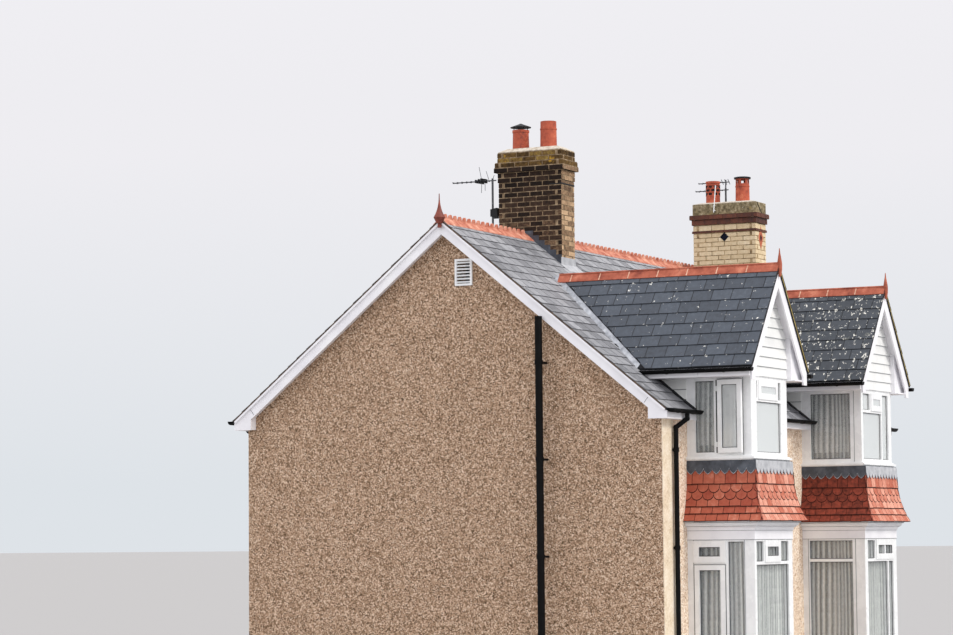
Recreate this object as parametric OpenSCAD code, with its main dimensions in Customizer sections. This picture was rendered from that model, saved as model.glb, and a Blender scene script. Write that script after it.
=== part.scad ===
// Pair of bay-fronted terraced houses under one slate roof, in millimetres.
// X runs along the street, -Y is the street front, Z is up and the ground is z = 0.
// The origin is on the ground at the middle of the footprint, under the party wall.

/* [Houses] */
// Width of one house, from party wall centre to outer gable face
house_w = 4540; // [4300:10:5200]
// Depth of the main block, outside the walls
depth = 6600; // [6200:20:7600]
// Thickness of the rendered outer walls
wall_t = 260; // [200:10:340]
// Thickness of the wall between the houses
party_t = 230; // [200:10:300]
// Ground floor surface above the ground
ground_floor_z = 200; // [150:10:260]
// Upper floor surface above the ground
upper_floor_z = 2850; // [2800:10:2860]
// Thickness of the upper floor
floor_t = 200; // [150:10:250]
// Height of the slates over the faces of the front and back walls
plate_z = 4527; // [4500:1:4560]
// Width of the smooth rendered strip on the front corner
strip_w = 390; // [360:5:420]
// How far the corner strip stands proud
strip_t = 12; // [8:1:20]

/* [Main roof] */
// Pitch of the main roof
pitch = 38.9; // [37:0.1:40]
// Thickness of the roof, slates to ceiling side, measured square to the slope
roof_t = 120; // [100:5:150]
// Overhang of the slates beyond the front and back walls
eaves_over = 148; // [140:2:200]
// Overhang of the slates beyond the gable walls
verge_over = 180; // [150:5:220]
// Thickness of the slates and battens that show above the bargeboards
slate_edge = 34; // [26:2:44]
// Width of each leg of the ridge tiles
ridge_leg = 150; // [120:5:180]
// Thickness of the ridge tiles
ridge_tile_t = 20; // [15:1:26]
// Height of the crest's lobes above the ridge tiles
crest_h = 58; // [46:2:80]
// Distance between the crest's lobes
crest_pitch = 148; // [120:2:200]
// Width of one lobe
crest_w = 84; // [60:2:90]
// Thickness of the crest
crest_t = 26; // [20:1:34]
// Height of the gable finials above the ridge
finial_h = 360; // [250:10:450]
// Radius of the gable finials' flared foot
finial_r = 84; // [70:2:100]

/* [Bargeboards and eaves] */
// Depth of the bargeboards, measured square to the slope
barge_depth = 142; // [120:2:190]
// Thickness of the bargeboards
barge_t = 26; // [20:1:34]
// How far the bargeboards stand back from the slates' edge
barge_set = 24; // [16:1:34]
// Drop from the slates over the wall to the underside of the boxed ends
eaves_box_drop = 261; // [240:1:280]
// How far the boxed ends reach in from the wall face
eaves_box_in = 133; // [90:1:160]
// Thickness of fascia and soffit boards
board_t = 20; // [16:1:26]
// Outside radius of the half round gutters
gutter_r = 54; // [45:1:62]
// Wall of the gutters
gutter_wall = 4; // [3:0.5:6]
// How far the main gutters' rims stand up beside the slates' edge
gutter_lap = 26; // [10:1:30]
// Drop from the underside of the gablets' slates to their gutters' rims
gutter_gap = 8; // [5:1:12]
// How far the gutters run past the boards behind them
gutter_past = 30; // [10:2:50]
// Gap between the gutters and the bays
gutter_end = 4; // [2:1:20]
// Thickness of the gutter brackets
clip_t = 5; // [4:1:8]
// Width of the brackets
clip_w = 24; // [16:1:34]
// Depth of a bracket's arm on the fascia
clip_arm = 26; // [18:1:34]
// Distance between gutter brackets, about
bracket_pitch = 900; // [600:50:1200]
// Radius of the downpipes
downpipe_r = 34; // [30:1:40]
// Distance of the downpipes' centres from the gable faces
downpipe_x = 345; // [300:5:380]
// Distance of a downpipe's centre from its wall
downpipe_off = 66; // [50:2:90]
// Sideways reach of the left front swan neck
swan_x = 70; // [0:5:90]
// Length of the outlet above a swan neck
outlet_h = 70; // [50:5:90]
// Height of the swan necks' sloping length
swan_h = 120; // [90:5:160]
// Height of the downpipes' feet above the ground
shoe_z = 60; // [20:5:120]
// Distance between the clips of the pipes on the walls
clip_pitch = 1350; // [900:50:1500]
// Height of the pipes' sockets and clips
collar_h = 60; // [40:2:80]
// How far the collars stand out round the pipes
collar_out = 8; // [5:1:12]

/* [Gable wall] */
// Width of the louvred vent
vent_w = 272; // [220:4:320]
// Height of the louvred vent
vent_h = 382; // [300:4:420]
// Drop from the ridge to the vent's centre
vent_drop = 762; // [740:2:900]
// Distance of the vent's centre in front of the ridge
vent_front = 282; // [200:2:320]
// Number of slats in the vent
vent_slats = 7; // [5:1:9]
// Thickness of the vent's slats
vent_slat_t = 8; // [5:1:10]
// Tilt of the vent's slats
vent_tilt = 40; // [30:1:50]
// Width of the vent's frame
vent_frame = 30; // [24:1:40]
// How far the vent stands proud of the wall
vent_proud = 30; // [24:1:40]
// Radius of the soil pipe
soil_r = 52; // [40:1:60]
// Wall of the soil pipe
soil_wall = 5; // [3:0.5:8]
// Distance of the soil pipe's centre from the gable wall
soil_off = 222; // [215:1:260]
// Distance of the soil pipe behind the front wall face
soil_back = 1750; // [1500:10:2200]
// Drop from the slates to the soil pipe's top
soil_top_drop = 204; // [160:2:280]
// Depth of the open bore at the soil pipe's top
soil_bore = 400; // [200:10:600]

/* [Bays] */
// Distance of a bay from its house's left side
bay_x = 895; // [850:5:960]
// Width of a bay's upper window
bay_w = 1385; // [1300:5:1500]
// Projection of a bay's upper window from the wall
bay_out = 962; // [900:2:1050]
// How far the ground window stands out beyond the upper window
ground_out = 36; // [20:2:60]
// How far the tile skirt's front stands out beyond the upper window
apron_front = 60; // [40:2:80]
// How far the tile skirt's sides stand out beyond the upper window
apron_side = 18; // [10:1:30]
// Flare of the tile skirt at its foot
flare = 150; // [100:5:180]
// Height of the ground window's sill
ground_sill_z = 750; // [650:10:900]
// Top of the ground window
ground_head_z = 2600; // [2560:5:2640]
// Height of the frieze above the ground window
frieze_h = 132; // [100:2:150]
// Height of the cornice
cornice_h = 134; // [120:2:150]
// How far the cornice stands out beyond the ground window
cornice_out = 100; // [70:5:130]
// How far the frieze stands out beyond the ground window
frieze_out = 8; // [4:1:14]
// Top of the tiles, where the lead starts
tile_top_z = 3545; // [3500:5:3580]
// Underside of the upper window's sill
upper_sill_z = 3706; // [3690:2:3730]
// Thickness of the sills
sill_t = 60; // [50:2:80]
// How far the sills stand out beyond the faces below them
sill_out = 24; // [15:1:40]
// Top of the upper window
upper_head_z = 4850; // [4840:2:4880]
// Height of the board over an upper window
head_board = 40; // [30:2:60]
// Thickness of the bays' walls under the windows
bay_wall_t = 150; // [110:5:180]
// Thickness of the boarded cheeks
cheek_t = 50; // [40:2:60]

/* [Window frames] */
// Thickness of the white window frames, in and out
frame_t = 70; // [60:2:80]
// Width of the frames' mullions and transoms
bar_w = 44; // [36:2:56]
// Height of the rail under the lights
sill_rail = 50; // [40:2:70]
// Height of the rail over the ground windows' lights
low_head_rail = 24; // [20:1:40]
// Height of the rail over the upper windows' lights
high_head_rail = 40; // [24:1:50]
// Top of the ground windows' main lights
low_transom_z = 2255; // [2150:5:2300]
// Top of the upper windows' main lights
high_transom_z = 4520; // [4400:5:4560]
// Width of an opening light's own frame
sash_w = 74; // [60:2:90]
// How far an opening light's frame laps over the fixed frame
sash_lap = 12; // [8:1:18]
// How far an opening light's frame stands proud
sash_out = 16; // [8:1:24]
// Thickness of the glass
glass_t = 6; // [4:1:10]
// Thickness of the open casement
leaf_t = 40; // [34:1:50]
// Width of the open casement's stiles and rails
leaf_stile = 70; // [56:2:84]
// Angle of the open casement
casement_open = 9; // [5:1:40]
// Gap that the casement's hinges leave beside the mullion
casement_gap = 40; // [14:1:44]
// Radius of the casement's hinge knuckles
knuckle_r = 7; // [5:1:9]
// Height of the casement's hinges
hinge_h = 80; // [60:5:110]
// Distance of the hinges from the casement's ends
hinge_in = 80; // [50:5:150]

/* [Lights of the left bay] */
// Lower front: left and right posts
low_front_posts_1 = [70, 157]; // [40:1:260]
// Lower front: fixed top lights left and right of the opening one
low_front_tops_1 = [270, 297]; // [40:1:400]
// Lower side: posts at the wall and at the corner
low_side_posts_1 = [100, 160]; // [60:1:240]
// Lower side: width of the tall light beside the opening one
low_side_tall_1 = 233; // [150:1:320]
// Upper front: left and right posts
high_front_posts_1 = [215, 240]; // [100:1:280]
// Upper front: fixed top lights left and right of the opening one
high_front_tops_1 = [33, 99]; // [20:1:200]
// Upper side: posts at the wall and at the corner
high_side_posts_1 = [130, 148]; // [80:1:200]
// Upper side: width of the fixed light beside the casement
high_side_fixed_1 = 280; // [200:1:360]

/* [Lights of the right bay] */
// Lower front: left and right posts
low_front_posts_2 = [127, 160]; // [60:1:260]
// Lower front: width of the narrow right light under the transom
low_front_low_2 = 214; // [120:1:300]
// Lower front: width of the fixed top light left of the opening one
low_front_top_2 = 335; // [200:1:460]
// Lower sides: posts at the wall and at the corner
low_side_posts_2 = [110, 198]; // [60:1:260]
// Upper front: left and right posts
high_front_posts_2 = [87, 136]; // [60:1:200]
// Upper front: width of the fixed top light left of the opening one
high_front_top_2 = 321; // [200:1:420]
// Upper front: width of the tall light right of the others
high_front_tall_2 = 284; // [200:1:340]
// Upper sides: posts at the wall and at the corner
high_side_posts_2 = [146, 179]; // [80:1:240]

/* [Gablets] */
// Offset of a gablet's centre from its bay's centre
gablet_shift = 40; // [0:5:60]
// Height of a gablet's slates at its ridge
gablet_ridge_z = 6455; // [6380:5:6530]
// Half width of a gablet over its slates
gablet_half = 1110; // [1050:5:1150]
// Height of a gablet's slates at its eaves
gablet_eaves_z = 5000; // [4980:2:5030]
// Thickness of a gablet's roof, measured square to the slope
gablet_t = 90; // [80:2:110]
// How far a gablet's slates stand out beyond its bay's window
gablet_over = 170; // [140:5:200]
// Depth of the gablet bargeboards, square to the slope
gablet_barge = 150; // [130:5:190]
// How far the gablet bargeboards stand back from the slates' edge
gablet_barge_set = 14; // [10:1:24]
// Bottom of the gablet bargeboards' feet
gablet_foot_z = 4800; // [4780:2:4830]
// Width of the bargeboards' feet
gablet_foot_w = 130; // [90:5:160]
// How far the bargeboards' feet stay inside the slates' edge
gablet_foot_in = 40; // [34:2:60]
// Distance of the boxed eaves' front panels behind the bargeboards
gablet_box_set = 50; // [30:2:60]
// Thickness of the weatherboarding
boarding_t = 50; // [40:2:70]
// Length of each slope of the gablets' ridge tiles
gablet_leg = 130; // [110:5:160]
// Distance of the gablets' last ridge tiles from the main ridge
gablet_ridge_back = 1020; // [980:10:1100]
// Height of the gablet finials above their ridge tiles
gablet_finial_h = 215; // [160:5:300]
// How far the gablet finials hang down in front of the bargeboards
gablet_finial_drop = 170; // [120:5:200]
// Radius of the gablet finials at their thickest
gablet_finial_r = 36; // [30:2:48]

/* [Left chimney] */
// Distance of the left chimney from the left gable face
chimney1_x = 2673; // [2500:5:2700]
// Width of the left chimney along the ridge
chimney1_w = 451; // [430:1:470]
// Length of the left chimney across the ridge
chimney1_l = 1042; // [1000:1:1100]
// How far the left chimney's front stands in front of the ridge
chimney1_front = 568; // [500:2:600]
// Height of the left chimney's brickwork above the ridge slates
chimney1_rise = 1296; // [1100:2:1400]
// How far its oversailing courses stand out, from the lowest
chimney1_steps = [10, 53, 42, 12]; // [4:1:60]

/* [Right chimney] */
// Width of the right chimney along the ridge
chimney2_w = 460; // [440:1:480]
// Length of the right chimney across the ridge
chimney2_l = 1110; // [1050:1:1150]
// How far the right chimney's front stands in front of the ridge
chimney2_front = 1345; // [1300:5:1400]
// Height of the right chimney's cap above the ridge slates
chimney2_rise = 1042; // [900:2:1100]
// How far its string, corbels and cap stand out, from the lowest
chimney2_steps = [18, 23, 50, 4]; // [2:1:60]

/* [Pots] */
// Height of one brick course
course = 76; // [70:1:80]
// Height of the mortar beds that the pots stand in
bed_h = 64; // [50:2:80]
// Outside radius of the left chimney's pots at the foot
pot_r = 128; // [115:1:145]
// Outside radius of the right chimney's pots at the foot
slim_pot_r = 120; // [110:1:130]
// Wall of the chimney pots
pot_wall = 20; // [16:1:24]
// Height of the left chimney's back pot
pot1_h = 318; // [280:2:380]
// Height of the left chimney's front pot
pot2_h = 422; // [380:2:460]
// Height of the right chimney's louvred pot
pot3_h = 385; // [340:2:420]
// Height of the right chimney's capped pot
pot4_h = 400; // [360:2:440]
// Distance of the back pots from their stacks' back
pot_back = 268; // [240:2:300]
// Distance of the front pots from their stacks' front
pot_front = 308; // [270:2:340]
// Height of the rims
rim_h = 36; // [24:1:48]
// Height of the rolls round the pots
roll_h = 18; // [12:1:24]
// How far rims and rolls stand out
roll_out = 9; // [5:1:14]
// Radius of the cone cowl
cowl_r = 158; // [140:2:180]
// Height of the cone cowl
cowl_h = 66; // [50:2:90]
// Gap between a pot and its cowl
cowl_gap = 40; // [30:2:70]
// Thickness of the cowl's legs
cowl_leg = 10; // [8:1:14]
// Radius of the disc cap
cap_r = 140; // [130:2:160]
// Thickness of the disc cap
cap_t = 22; // [14:1:30]
// Height of the windows in the capped pot
pot_window_h = 66; // [40:2:90]
// Width of the windows in the capped pot
pot_window_w = 72; // [50:2:80]

/* [Aerials] */
// Radius of the masts
mast_r = 16; // [12:1:20]
// Gap between the masts and their stacks
mast_off = 100; // [70:2:130]
// Bottom and top of the left mast above the ridge slates
mast1_span = [80, 920]; // [40:10:1200]
// Bottom and top of the right mast above the ridge slates
mast2_span = [210, 1370]; // [40:10:1500]
// Distance of the right mast from its stack's back
mast2_back = 360; // [240:10:600]
// Radius of the booms
boom_r = 9; // [6:1:12]
// Length of the left boom
boom1_l = 740; // [500:10:800]
// Length of the right boom
boom2_l = 600; // [400:10:700]
// Length of the rods
rod_l = 180; // [120:10:240]

/* [Doors and hidden windows] */
// Distance of a front door from its house's left side
door_x = 3020; // [2900:10:3200]
// Width of the doors' openings
door_w = 940; // [900:10:1000]
// Height of the doors' openings above the floor
door_h = 2080; // [2000:10:2150]
// Width of the door frames
door_frame = 60; // [50:2:80]
// Thickness of the door frames
door_frame_t = 80; // [60:2:100]
// Thickness of the door leaves
door_t = 48; // [40:2:56]
// Depth of the sunk door panels
panel_sunk = 8; // [4:1:12]
// How far doors and wall windows stand back from the wall face
reveal = 50; // [30:5:90]
// Width of the small upper windows
small_w = 820; // [700:10:900]
// Height of the upper wall windows
small_h = 920; // [850:10:940]
// Sill of the upper wall windows above the upper floor
small_sill = 420; // [380:10:450]
// Width of the back windows
back_win_w = 1300; // [1100:10:1400]
// Height of the lower back windows
back_win_h = 1100; // [900:10:1300]
// Sill of the lower back windows above the ground floor
back_sill = 900; // [850:10:1000]
// Distance of the back windows from the party wall's centre
back_win_x = 560; // [450:10:700]
// Distance of the back doors from the party wall's centre
back_door_x = 2620; // [2500:10:2800]

/* [Hidden] */

eps = 1;
far = 20000;
x0 = -house_w;
x1 = house_w;
yf = -depth / 2;
yb = depth / 2;
ridge_z = plate_z + depth / 2 * tan(pitch);
roof_v = roof_t / cos(pitch);
eaves_y = depth / 2 + eaves_over;
box_y = depth / 2 - eaves_box_in;
verge_x = x0 - verge_over;
barge_x = verge_x + barge_set;
barge_back = barge_x + barge_t;
barge_v = barge_depth / cos(pitch);
eaves_box_z = plate_z - eaves_box_drop;
leg_y = ridge_leg * cos(pitch);
leg_z = ridge_z - ridge_leg * sin(pitch);
crown_z = ridge_z + ridge_tile_t * 1.5;
cornice_z = ground_head_z + frieze_h + cornice_h;
low_w = bay_w + 2 * ground_out;
low_l = bay_out + ground_out;
ground_y = yf - low_l;
bay_y = yf - bay_out;
gablet_tan = (gablet_ridge_z - gablet_eaves_z) / gablet_half;
gablet_pitch = atan(gablet_tan);
gablet_v = gablet_t / cos(gablet_pitch);
gablet_barge_v = gablet_barge / cos(gablet_pitch);
gablet_y = bay_y - gablet_over;
gablet_barge_y = gablet_y + gablet_barge_set;
gablet_back = gablet_barge_y + barge_t;
gablet_low_z = gablet_eaves_z - slate_edge;
chimney1_top = ridge_z + chimney1_rise;
chimney2_top = ridge_z + chimney2_rise;
chimney1 = [x0 + chimney1_x, -chimney1_front, chimney1_w, chimney1_l];
chimney2 = [x1 - chimney2_w, -chimney2_front, chimney2_w, chimney2_l];
gutter_off = gutter_r + clip_t;
gutter_y = eaves_y + gutter_off;
gutter_z = plate_z - eaves_over * tan(pitch) - slate_edge + gutter_lap;
high_sill_z = upper_floor_z + small_sill;
low_z = [ground_sill_z + sill_t + sill_rail, low_transom_z, ground_head_z - low_head_rail];
high_z = [upper_sill_z + sill_t + sill_rail, high_transom_z, upper_head_z - high_head_rail];

// Height of the main roof's slates at y
function roof_z(y) = ridge_z - abs(y) * tan(pitch);
// Where the front slates are at height z
function roof_y(z) = -(ridge_z - z) / tan(pitch);
// Height of a gablet's slates at a distance from its centre
function gablet_z(d) = gablet_ridge_z - abs(d) * gablet_tan;
// Distance from a gablet's centre to its roof's underside at height z
function gablet_under(z) = (gablet_ridge_z - gablet_v - z) / gablet_tan;
// Left edge of house 0 or 1
function house(i) = x0 + i * house_w;
// Centre of a gablet
function gablet_x(i) = house(i) + bay_x + bay_w / 2 + gablet_shift;
// Points of an arc round c, from angle a to b
function arc(c, r, a, b, n = 5) = [for (k = [0 : n]) let (t = a + (b - a) * k / n)
  [c[0] + r * cos(t), c[1] + r * sin(t)]];

// Extrudes a Y-Z outline from x along +X
module along_x(x, len) translate([x, 0, 0]) rotate([90, 0, 90]) linear_extrude(len) children();
// Extrudes an X-Z outline from y along +Y
module along_y(y, len) translate([0, y + len, 0]) rotate([90, 0, 0]) linear_extrude(len) children();
// A box from one corner to the opposite one, given in any order
module block(a, b) {
  low = [for (k = [0 : 2]) min(a[k], b[k])];
  high = [for (k = [0 : 2]) max(a[k], b[k])];
  translate(low) cube(high - low);
}
// A strap from an upright pipe or mast to a wall point beside it
module strap(c, wall, half, z0, z1) {
  d = [c[0] == wall[0] ? half : 0, c[1] == wall[1] ? half : 0];
  block([c[0] - d[0], c[1] - d[1], z0], [wall[0] + d[0], wall[1] + d[1], z1]);
}

// Everything under the main roof's slates
module under_roof(x = -far, len = 2 * far) along_x(x, len)
  polygon([[-far, -far], [far, -far], [far, roof_z(far)], [0, ridge_z], [-far, roof_z(far)]]);

// Everything under a gablet's slates, dropped by d
module under_gablet(i, d) along_y(-far, 2 * far) translate([gablet_x(i), -d])
  polygon([[-far, -far], [far, -far], [far, gablet_z(far)], [0, gablet_ridge_z],
    [-far, gablet_z(far)]]);

// Cross wall up to the underside of the roof, set in by d at the front and back
module cross_wall(x, t, d = 0) along_x(x, t)
  polygon([[yf + d, 0], [yb - d, 0], [yb - d, roof_z(yb - d) - roof_v], [0, ridge_z - roof_v],
    [yf + d, roof_z(yf + d) - roof_v]]);

module left_gable_wall() color("#A8998A") difference() {
  cross_wall(x0, wall_t);
  translate([x0, -vent_front, ridge_z - vent_drop]) vent_hole();
}

module right_gable_wall() color("#A8998A") cross_wall(x1 - wall_t, wall_t);

module party_wall() color("#A8998A") cross_wall(-party_t / 2, party_t, wall_t);

// Front or back wall of one house; s is -1 at the front and 1 at the back
module long_wall(i, s) along_x(i == 0 ? x0 + wall_t : 0, house_w - wall_t)
  polygon([[s * depth / 2, 0], [s * (depth / 2 - wall_t), 0],
    [s * (depth / 2 - wall_t), roof_z(yb - wall_t) - roof_v],
    [s * depth / 2, roof_z(yb) - roof_v]]);

// Hole through the front or back wall
module wall_hole(x, w, z, h, s)
  block([x, s * (depth / 2 + eps), z], [x + w, s * (depth / 2 - wall_t - eps), z + h]);

module front_wall(i) color("#D9C3A0") difference() {
  long_wall(i, -1);
  for (z = [[ground_floor_z, ground_head_z - ground_floor_z], [upper_floor_z, far]])
    wall_hole(house(i) + bay_x + bay_wall_t, bay_w - 2 * bay_wall_t, z[0], z[1], -1);
  wall_hole(house(i) + door_x, door_w, ground_floor_z, door_h, -1);
  wall_hole(small_x(i), small_w, high_sill_z, small_h, -1);
}
module front_wall_left() front_wall(0);
module front_wall_right() front_wall(1);

// Left side of the small window over a front door
function small_x(i) = house(i) + door_x + (door_w - small_w) / 2;
// Left side of a back window or back door, mirrored about the party wall
function back_x(i, d, w) = i == 0 ? -d - w : d;
// Sill height and height of each back window
function back_lights() = [[ground_floor_z + back_sill, back_win_h], [high_sill_z, small_h]];

module back_wall(i) color("#A8998A") difference() {
  long_wall(i, 1);
  wall_hole(back_x(i, back_door_x, door_w), door_w, ground_floor_z, door_h, 1);
  for (b = back_lights()) wall_hole(back_x(i, back_win_x, back_win_w), back_win_w, b[0], b[1], 1);
}
module back_wall_left() back_wall(0);
module back_wall_right() back_wall(1);

// Floor between the walls of both houses
module floors(z, t) for (i = [0, 1])
  block([i == 0 ? x0 + wall_t : party_t / 2, yf + wall_t, z - t],
    [i == 0 ? -party_t / 2 : x1 - wall_t, yb - wall_t, z]);

module ground_floors() color("#8A8378") floors(ground_floor_z, ground_floor_z);
module upper_floors() color("#9C7B55") floors(upper_floor_z, floor_t);

// One main roof slope, only slates over the bargeboards; s is -1 at the front and 1 at the back
module roof_slope(s) {
  edge = [[0, ridge_z], [s * eaves_y, roof_z(eaves_y)], [s * eaves_y, roof_z(eaves_y) - slate_edge]];
  along_x(verge_x, -2 * verge_x) polygon(concat(edge, [[0, ridge_z - slate_edge]]));
  along_x(barge_back, -2 * barge_back)
    polygon(concat(edge, [[s * depth / 2, roof_z(depth / 2) - roof_v], [0, ridge_z - roof_v]]));
}

module front_roof() color("#A9B0B5") difference() {
  roof_slope(-1);
  for (i = [0, 1]) {
    block([house(i) + bay_x, -far, 0], [house(i) + bay_x + bay_w, yf, far]);
    block([house(i) + bay_x + cheek_t, -far, 0],
      [house(i) + bay_x + bay_w - cheek_t, roof_y(upper_head_z + head_board), far]);
  }
}

module back_roof() color("#A9B0B5") roof_slope(1);

// Outline of the ridge tiles, down to height z
function ridge_pts(z) = [[0, crown_z], [leg_y, leg_z + ridge_tile_t], [leg_y, z], [-leg_y, z],
  [-leg_y, leg_z + ridge_tile_t]];

// Ridge tiles between two places, with a crest of lobes clear of the finial
module ridge_run(a, b) {
  from = a + finial_r;
  len = b - a - 2 * finial_r;
  n = floor(len / crest_pitch);
  step = len / n;
  along_x(a, b - a) polygon(ridge_pts(leg_z - eps));
  along_x(from, len) translate([-crest_t / 2, ridge_z])
    square([crest_t, crown_z - ridge_z + crest_h * 0.2]);
  for (k = [0 : n - 1])
    along_y(-crest_t / 2, crest_t) translate([from + (k + 0.5) * step, crown_z]) {
      translate([0, crest_h - crest_w / 2]) circle(d = crest_w, $fn = 20);
      translate([-crest_w / 2, -ridge_tile_t / 2])
        square([crest_w, crest_h - crest_w / 2 + ridge_tile_t / 2]);
    }
}

module main_ridge() color("#C0674F") difference() {
  union() {
    ridge_run(verge_x, chimney1[0]);
    ridge_run(chimney1[0] + chimney1_w, -verge_x);
  }
  under_roof();
}

// Trumpet-footed spike over the verge, with a rib down to the bargeboards' apex
module gable_finials() color("#8E4234") for (m = [0, 1]) mirror([m, 0, 0]) difference() {
  h = finial_h - ridge_tile_t;
  r = finial_r;
  union() {
    translate([verge_x - r * 0.3, 0, ridge_z + ridge_tile_t]) rotate_extrude($fn = 32)
      polygon(concat([[0, -r], [r * 0.5, -r], [r, 0]],
        [for (k = [1 : 8]) [r * (0.08 + 0.92 * pow(1 - k / 8, 2.6)), h * k / 8]], [[0, h]]));
    block([verge_x - r * 0.5, -r / 4, ridge_z - slate_edge - barge_v / 2],
      [verge_x, r / 4, ridge_z]);
  }
  along_x(verge_x, far) polygon(ridge_pts(0));
}

// Pair of bargeboards on a gable, with boxed ends at the eaves
module barge_pair() along_x(barge_x, barge_t) for (s = [-1, 1])
  polygon([[0, ridge_z - slate_edge], [s * eaves_y, roof_z(eaves_y) - slate_edge],
    [s * eaves_y, eaves_box_z], [s * box_y, eaves_box_z],
    [s * box_y, roof_z(box_y) - slate_edge - barge_v], [0, ridge_z - slate_edge - barge_v]]);

// Sloped soffits between bargeboards and wall, with the underside and back of the boxed ends
module verge_boards() along_x(barge_back, x0 - barge_back) for (s = [-1, 1]) {
  y = box_y + board_t / 4;
  z = eaves_box_z + board_t / 4;
  polygon([[0, ridge_z - roof_v], [s * depth / 2, roof_z(depth / 2) - roof_v],
    [s * depth / 2, roof_z(depth / 2) - roof_v - board_t], [0, ridge_z - roof_v - board_t]]);
  polygon([[s * depth / 2, z], [s * y, z], [s * y, roof_z(y) - roof_v - board_t / 2],
    [s * (y + board_t), roof_z(y) - roof_v - board_t], [s * (y + board_t), z + board_t],
    [s * depth / 2, z + board_t]]);
}

module left_bargeboards() color("#E3E3EB") {
  barge_pair();
  verge_boards();
}

module right_bargeboards() color("#E3E3EB") mirror([1, 0, 0]) left_bargeboards();

// Underside of the roof's tapered eaves at y
function eaves_under(y) = let (a = roof_z(eaves_y) - slate_edge, b = roof_z(depth / 2) - roof_v)
  a + (b - a) * (eaves_y - y) / eaves_over;

// Fascia and soffit along the eaves between two places; s is -1 in front and 1 at the back
module eaves_run(a, b, s) along_x(a, b - a) {
  back = eaves_y - board_t;
  polygon([[s * eaves_y, roof_z(eaves_y) - slate_edge], [s * eaves_y, eaves_box_z],
    [s * back, eaves_box_z], [s * back, eaves_under(back)]]);
  polygon([[s * back, eaves_box_z], [s * depth / 2, eaves_box_z],
    [s * depth / 2, eaves_box_z + board_t], [s * back, eaves_box_z + board_t]]);
}

// Stretches of the front eaves that the bays leave
function front_runs() = [[barge_back, x0 + bay_x], [x0 + bay_x + bay_w, bay_x],
  [bay_x + bay_w, -barge_back]];

module eaves_boards() color("#E9EAEE") {
  for (r = front_runs()) eaves_run(r[0], r[1], -1);
  eaves_run(barge_back, -barge_back, 1);
}

// Half round gutter along +X from the origin, with stop ends and brackets to a board at +Y
module gutter(len) {
  n = max(2, round(len / bracket_pitch));
  difference() {
    along_x(0, len) half_round(gutter_r);
    along_x(gutter_wall, len - 2 * gutter_wall) circle(r = gutter_r - gutter_wall, $fn = 32);
  }
  for (k = [0 : n - 1]) along_x((k + 0.5) * len / n - clip_w / 2, clip_w) difference() {
    union() {
      half_round(gutter_off);
      translate([0, -clip_arm]) square([gutter_off, clip_arm]);
    }
    circle(r = gutter_r, $fn = 32);
  }
}
module half_round(r) intersection() {
  circle(r = r, $fn = 32);
  translate([-far, -far]) square([2 * far, far]);
}

module eaves_gutters() color("#1E1F21") {
  r = front_runs();
  ends = [[r[0][0] - gutter_past, r[0][1] - gutter_end], [r[1][0] + gutter_end, r[1][1] - gutter_end],
    [r[2][0] + gutter_end, r[2][1] + gutter_past]];
  for (e = ends) translate([e[0], -gutter_y, gutter_z]) gutter(e[1] - e[0]);
  translate([ends[0][0], gutter_y, gutter_z]) mirror([0, 1, 0]) gutter(ends[2][1] - ends[0][0]);
  z = gablet_low_z - gutter_gap;
  difference() {
    for (i = [0, 1], m = [0, 1]) translate([gablet_x(i), roof_y(z), z]) mirror([m, 0, 0])
      translate([-gablet_half - gutter_off, 0, 0]) rotate([0, 0, -90])
        gutter(roof_y(z) - gablet_y + gutter_past);
    under_roof();
  }
}

// Round pipe through a list of points, with ball joints at the bends
module pipe(pts, r) {
  for (k = [0 : len(pts) - 2]) {
    d = pts[k + 1] - pts[k];
    l = norm(d);
    translate(pts[k]) rotate([0, acos(d[2] / l), atan2(d[1], d[0])]) cylinder(r = r, h = l, $fn = 24);
  }
  for (k = [1 : len(pts) - 2]) translate(pts[k]) sphere(r = r + collar_out / 2, $fn = 24);
}

// Socket round an upright pipe with a strap back to its wall
module collar(c, wall, r, z) {
  translate([c[0], c[1], z]) cylinder(r = r + collar_out, h = collar_h, $fn = 24);
  strap(c, wall, r / 2, z + collar_h / 4, z + collar_h * 3 / 4);
}

// Downpipe with a swan neck under the gutter and clips to its wall
module downpipe(x, s, dx) {
  wy = s * (depth / 2 + downpipe_off);
  top = gutter_z - gutter_r;
  neck = top - outlet_h - swan_h;
  pipe([[x + dx, s * gutter_y, top], [x + dx, s * gutter_y, top - outlet_h],
    [x, wy, neck], [x, wy, shoe_z]], downpipe_r);
  for (z = [neck - clip_pitch / 4 : -clip_pitch : shoe_z + collar_h])
    collar([x, wy], [x, s * depth / 2], downpipe_r, z);
}

module downpipes() color("#1E1F21") {
  downpipe(x0 + downpipe_x, -1, swan_x);
  downpipe(x1 - downpipe_x, -1, 0);
  downpipe(x0 + downpipe_x, 1, 0);
  downpipe(x1 - downpipe_x, 1, 0);
}

// Opening inside the vent's frame, right through the wall
module vent_hole() block([-wall_t, vent_frame - vent_w / 2, vent_frame - vent_h / 2],
  [wall_t + eps, vent_w / 2 - vent_frame, vent_h / 2 - vent_frame]);

// Louvred vent: a frame round sloping slats
module gable_vent() color("#F2F2F0") translate([x0, -vent_front, ridge_z - vent_drop]) {
  gap = (vent_h - 2 * vent_frame) / vent_slats;
  difference() {
    block([-vent_proud, -vent_w / 2, -vent_h / 2], [0, vent_w / 2, vent_h / 2]);
    vent_hole();
  }
  for (k = [0 : vent_slats - 1])
    translate([-vent_proud / 2, -vent_w / 2 + vent_frame / 2, (k + 0.5) * gap - vent_h / 2 + vent_frame])
      rotate([0, -vent_tilt, 0])
        block([-gap * 0.35, 0, -vent_slat_t / 2], [gap * 0.35, vent_w - vent_frame, vent_slat_t / 2]);
}

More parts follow.
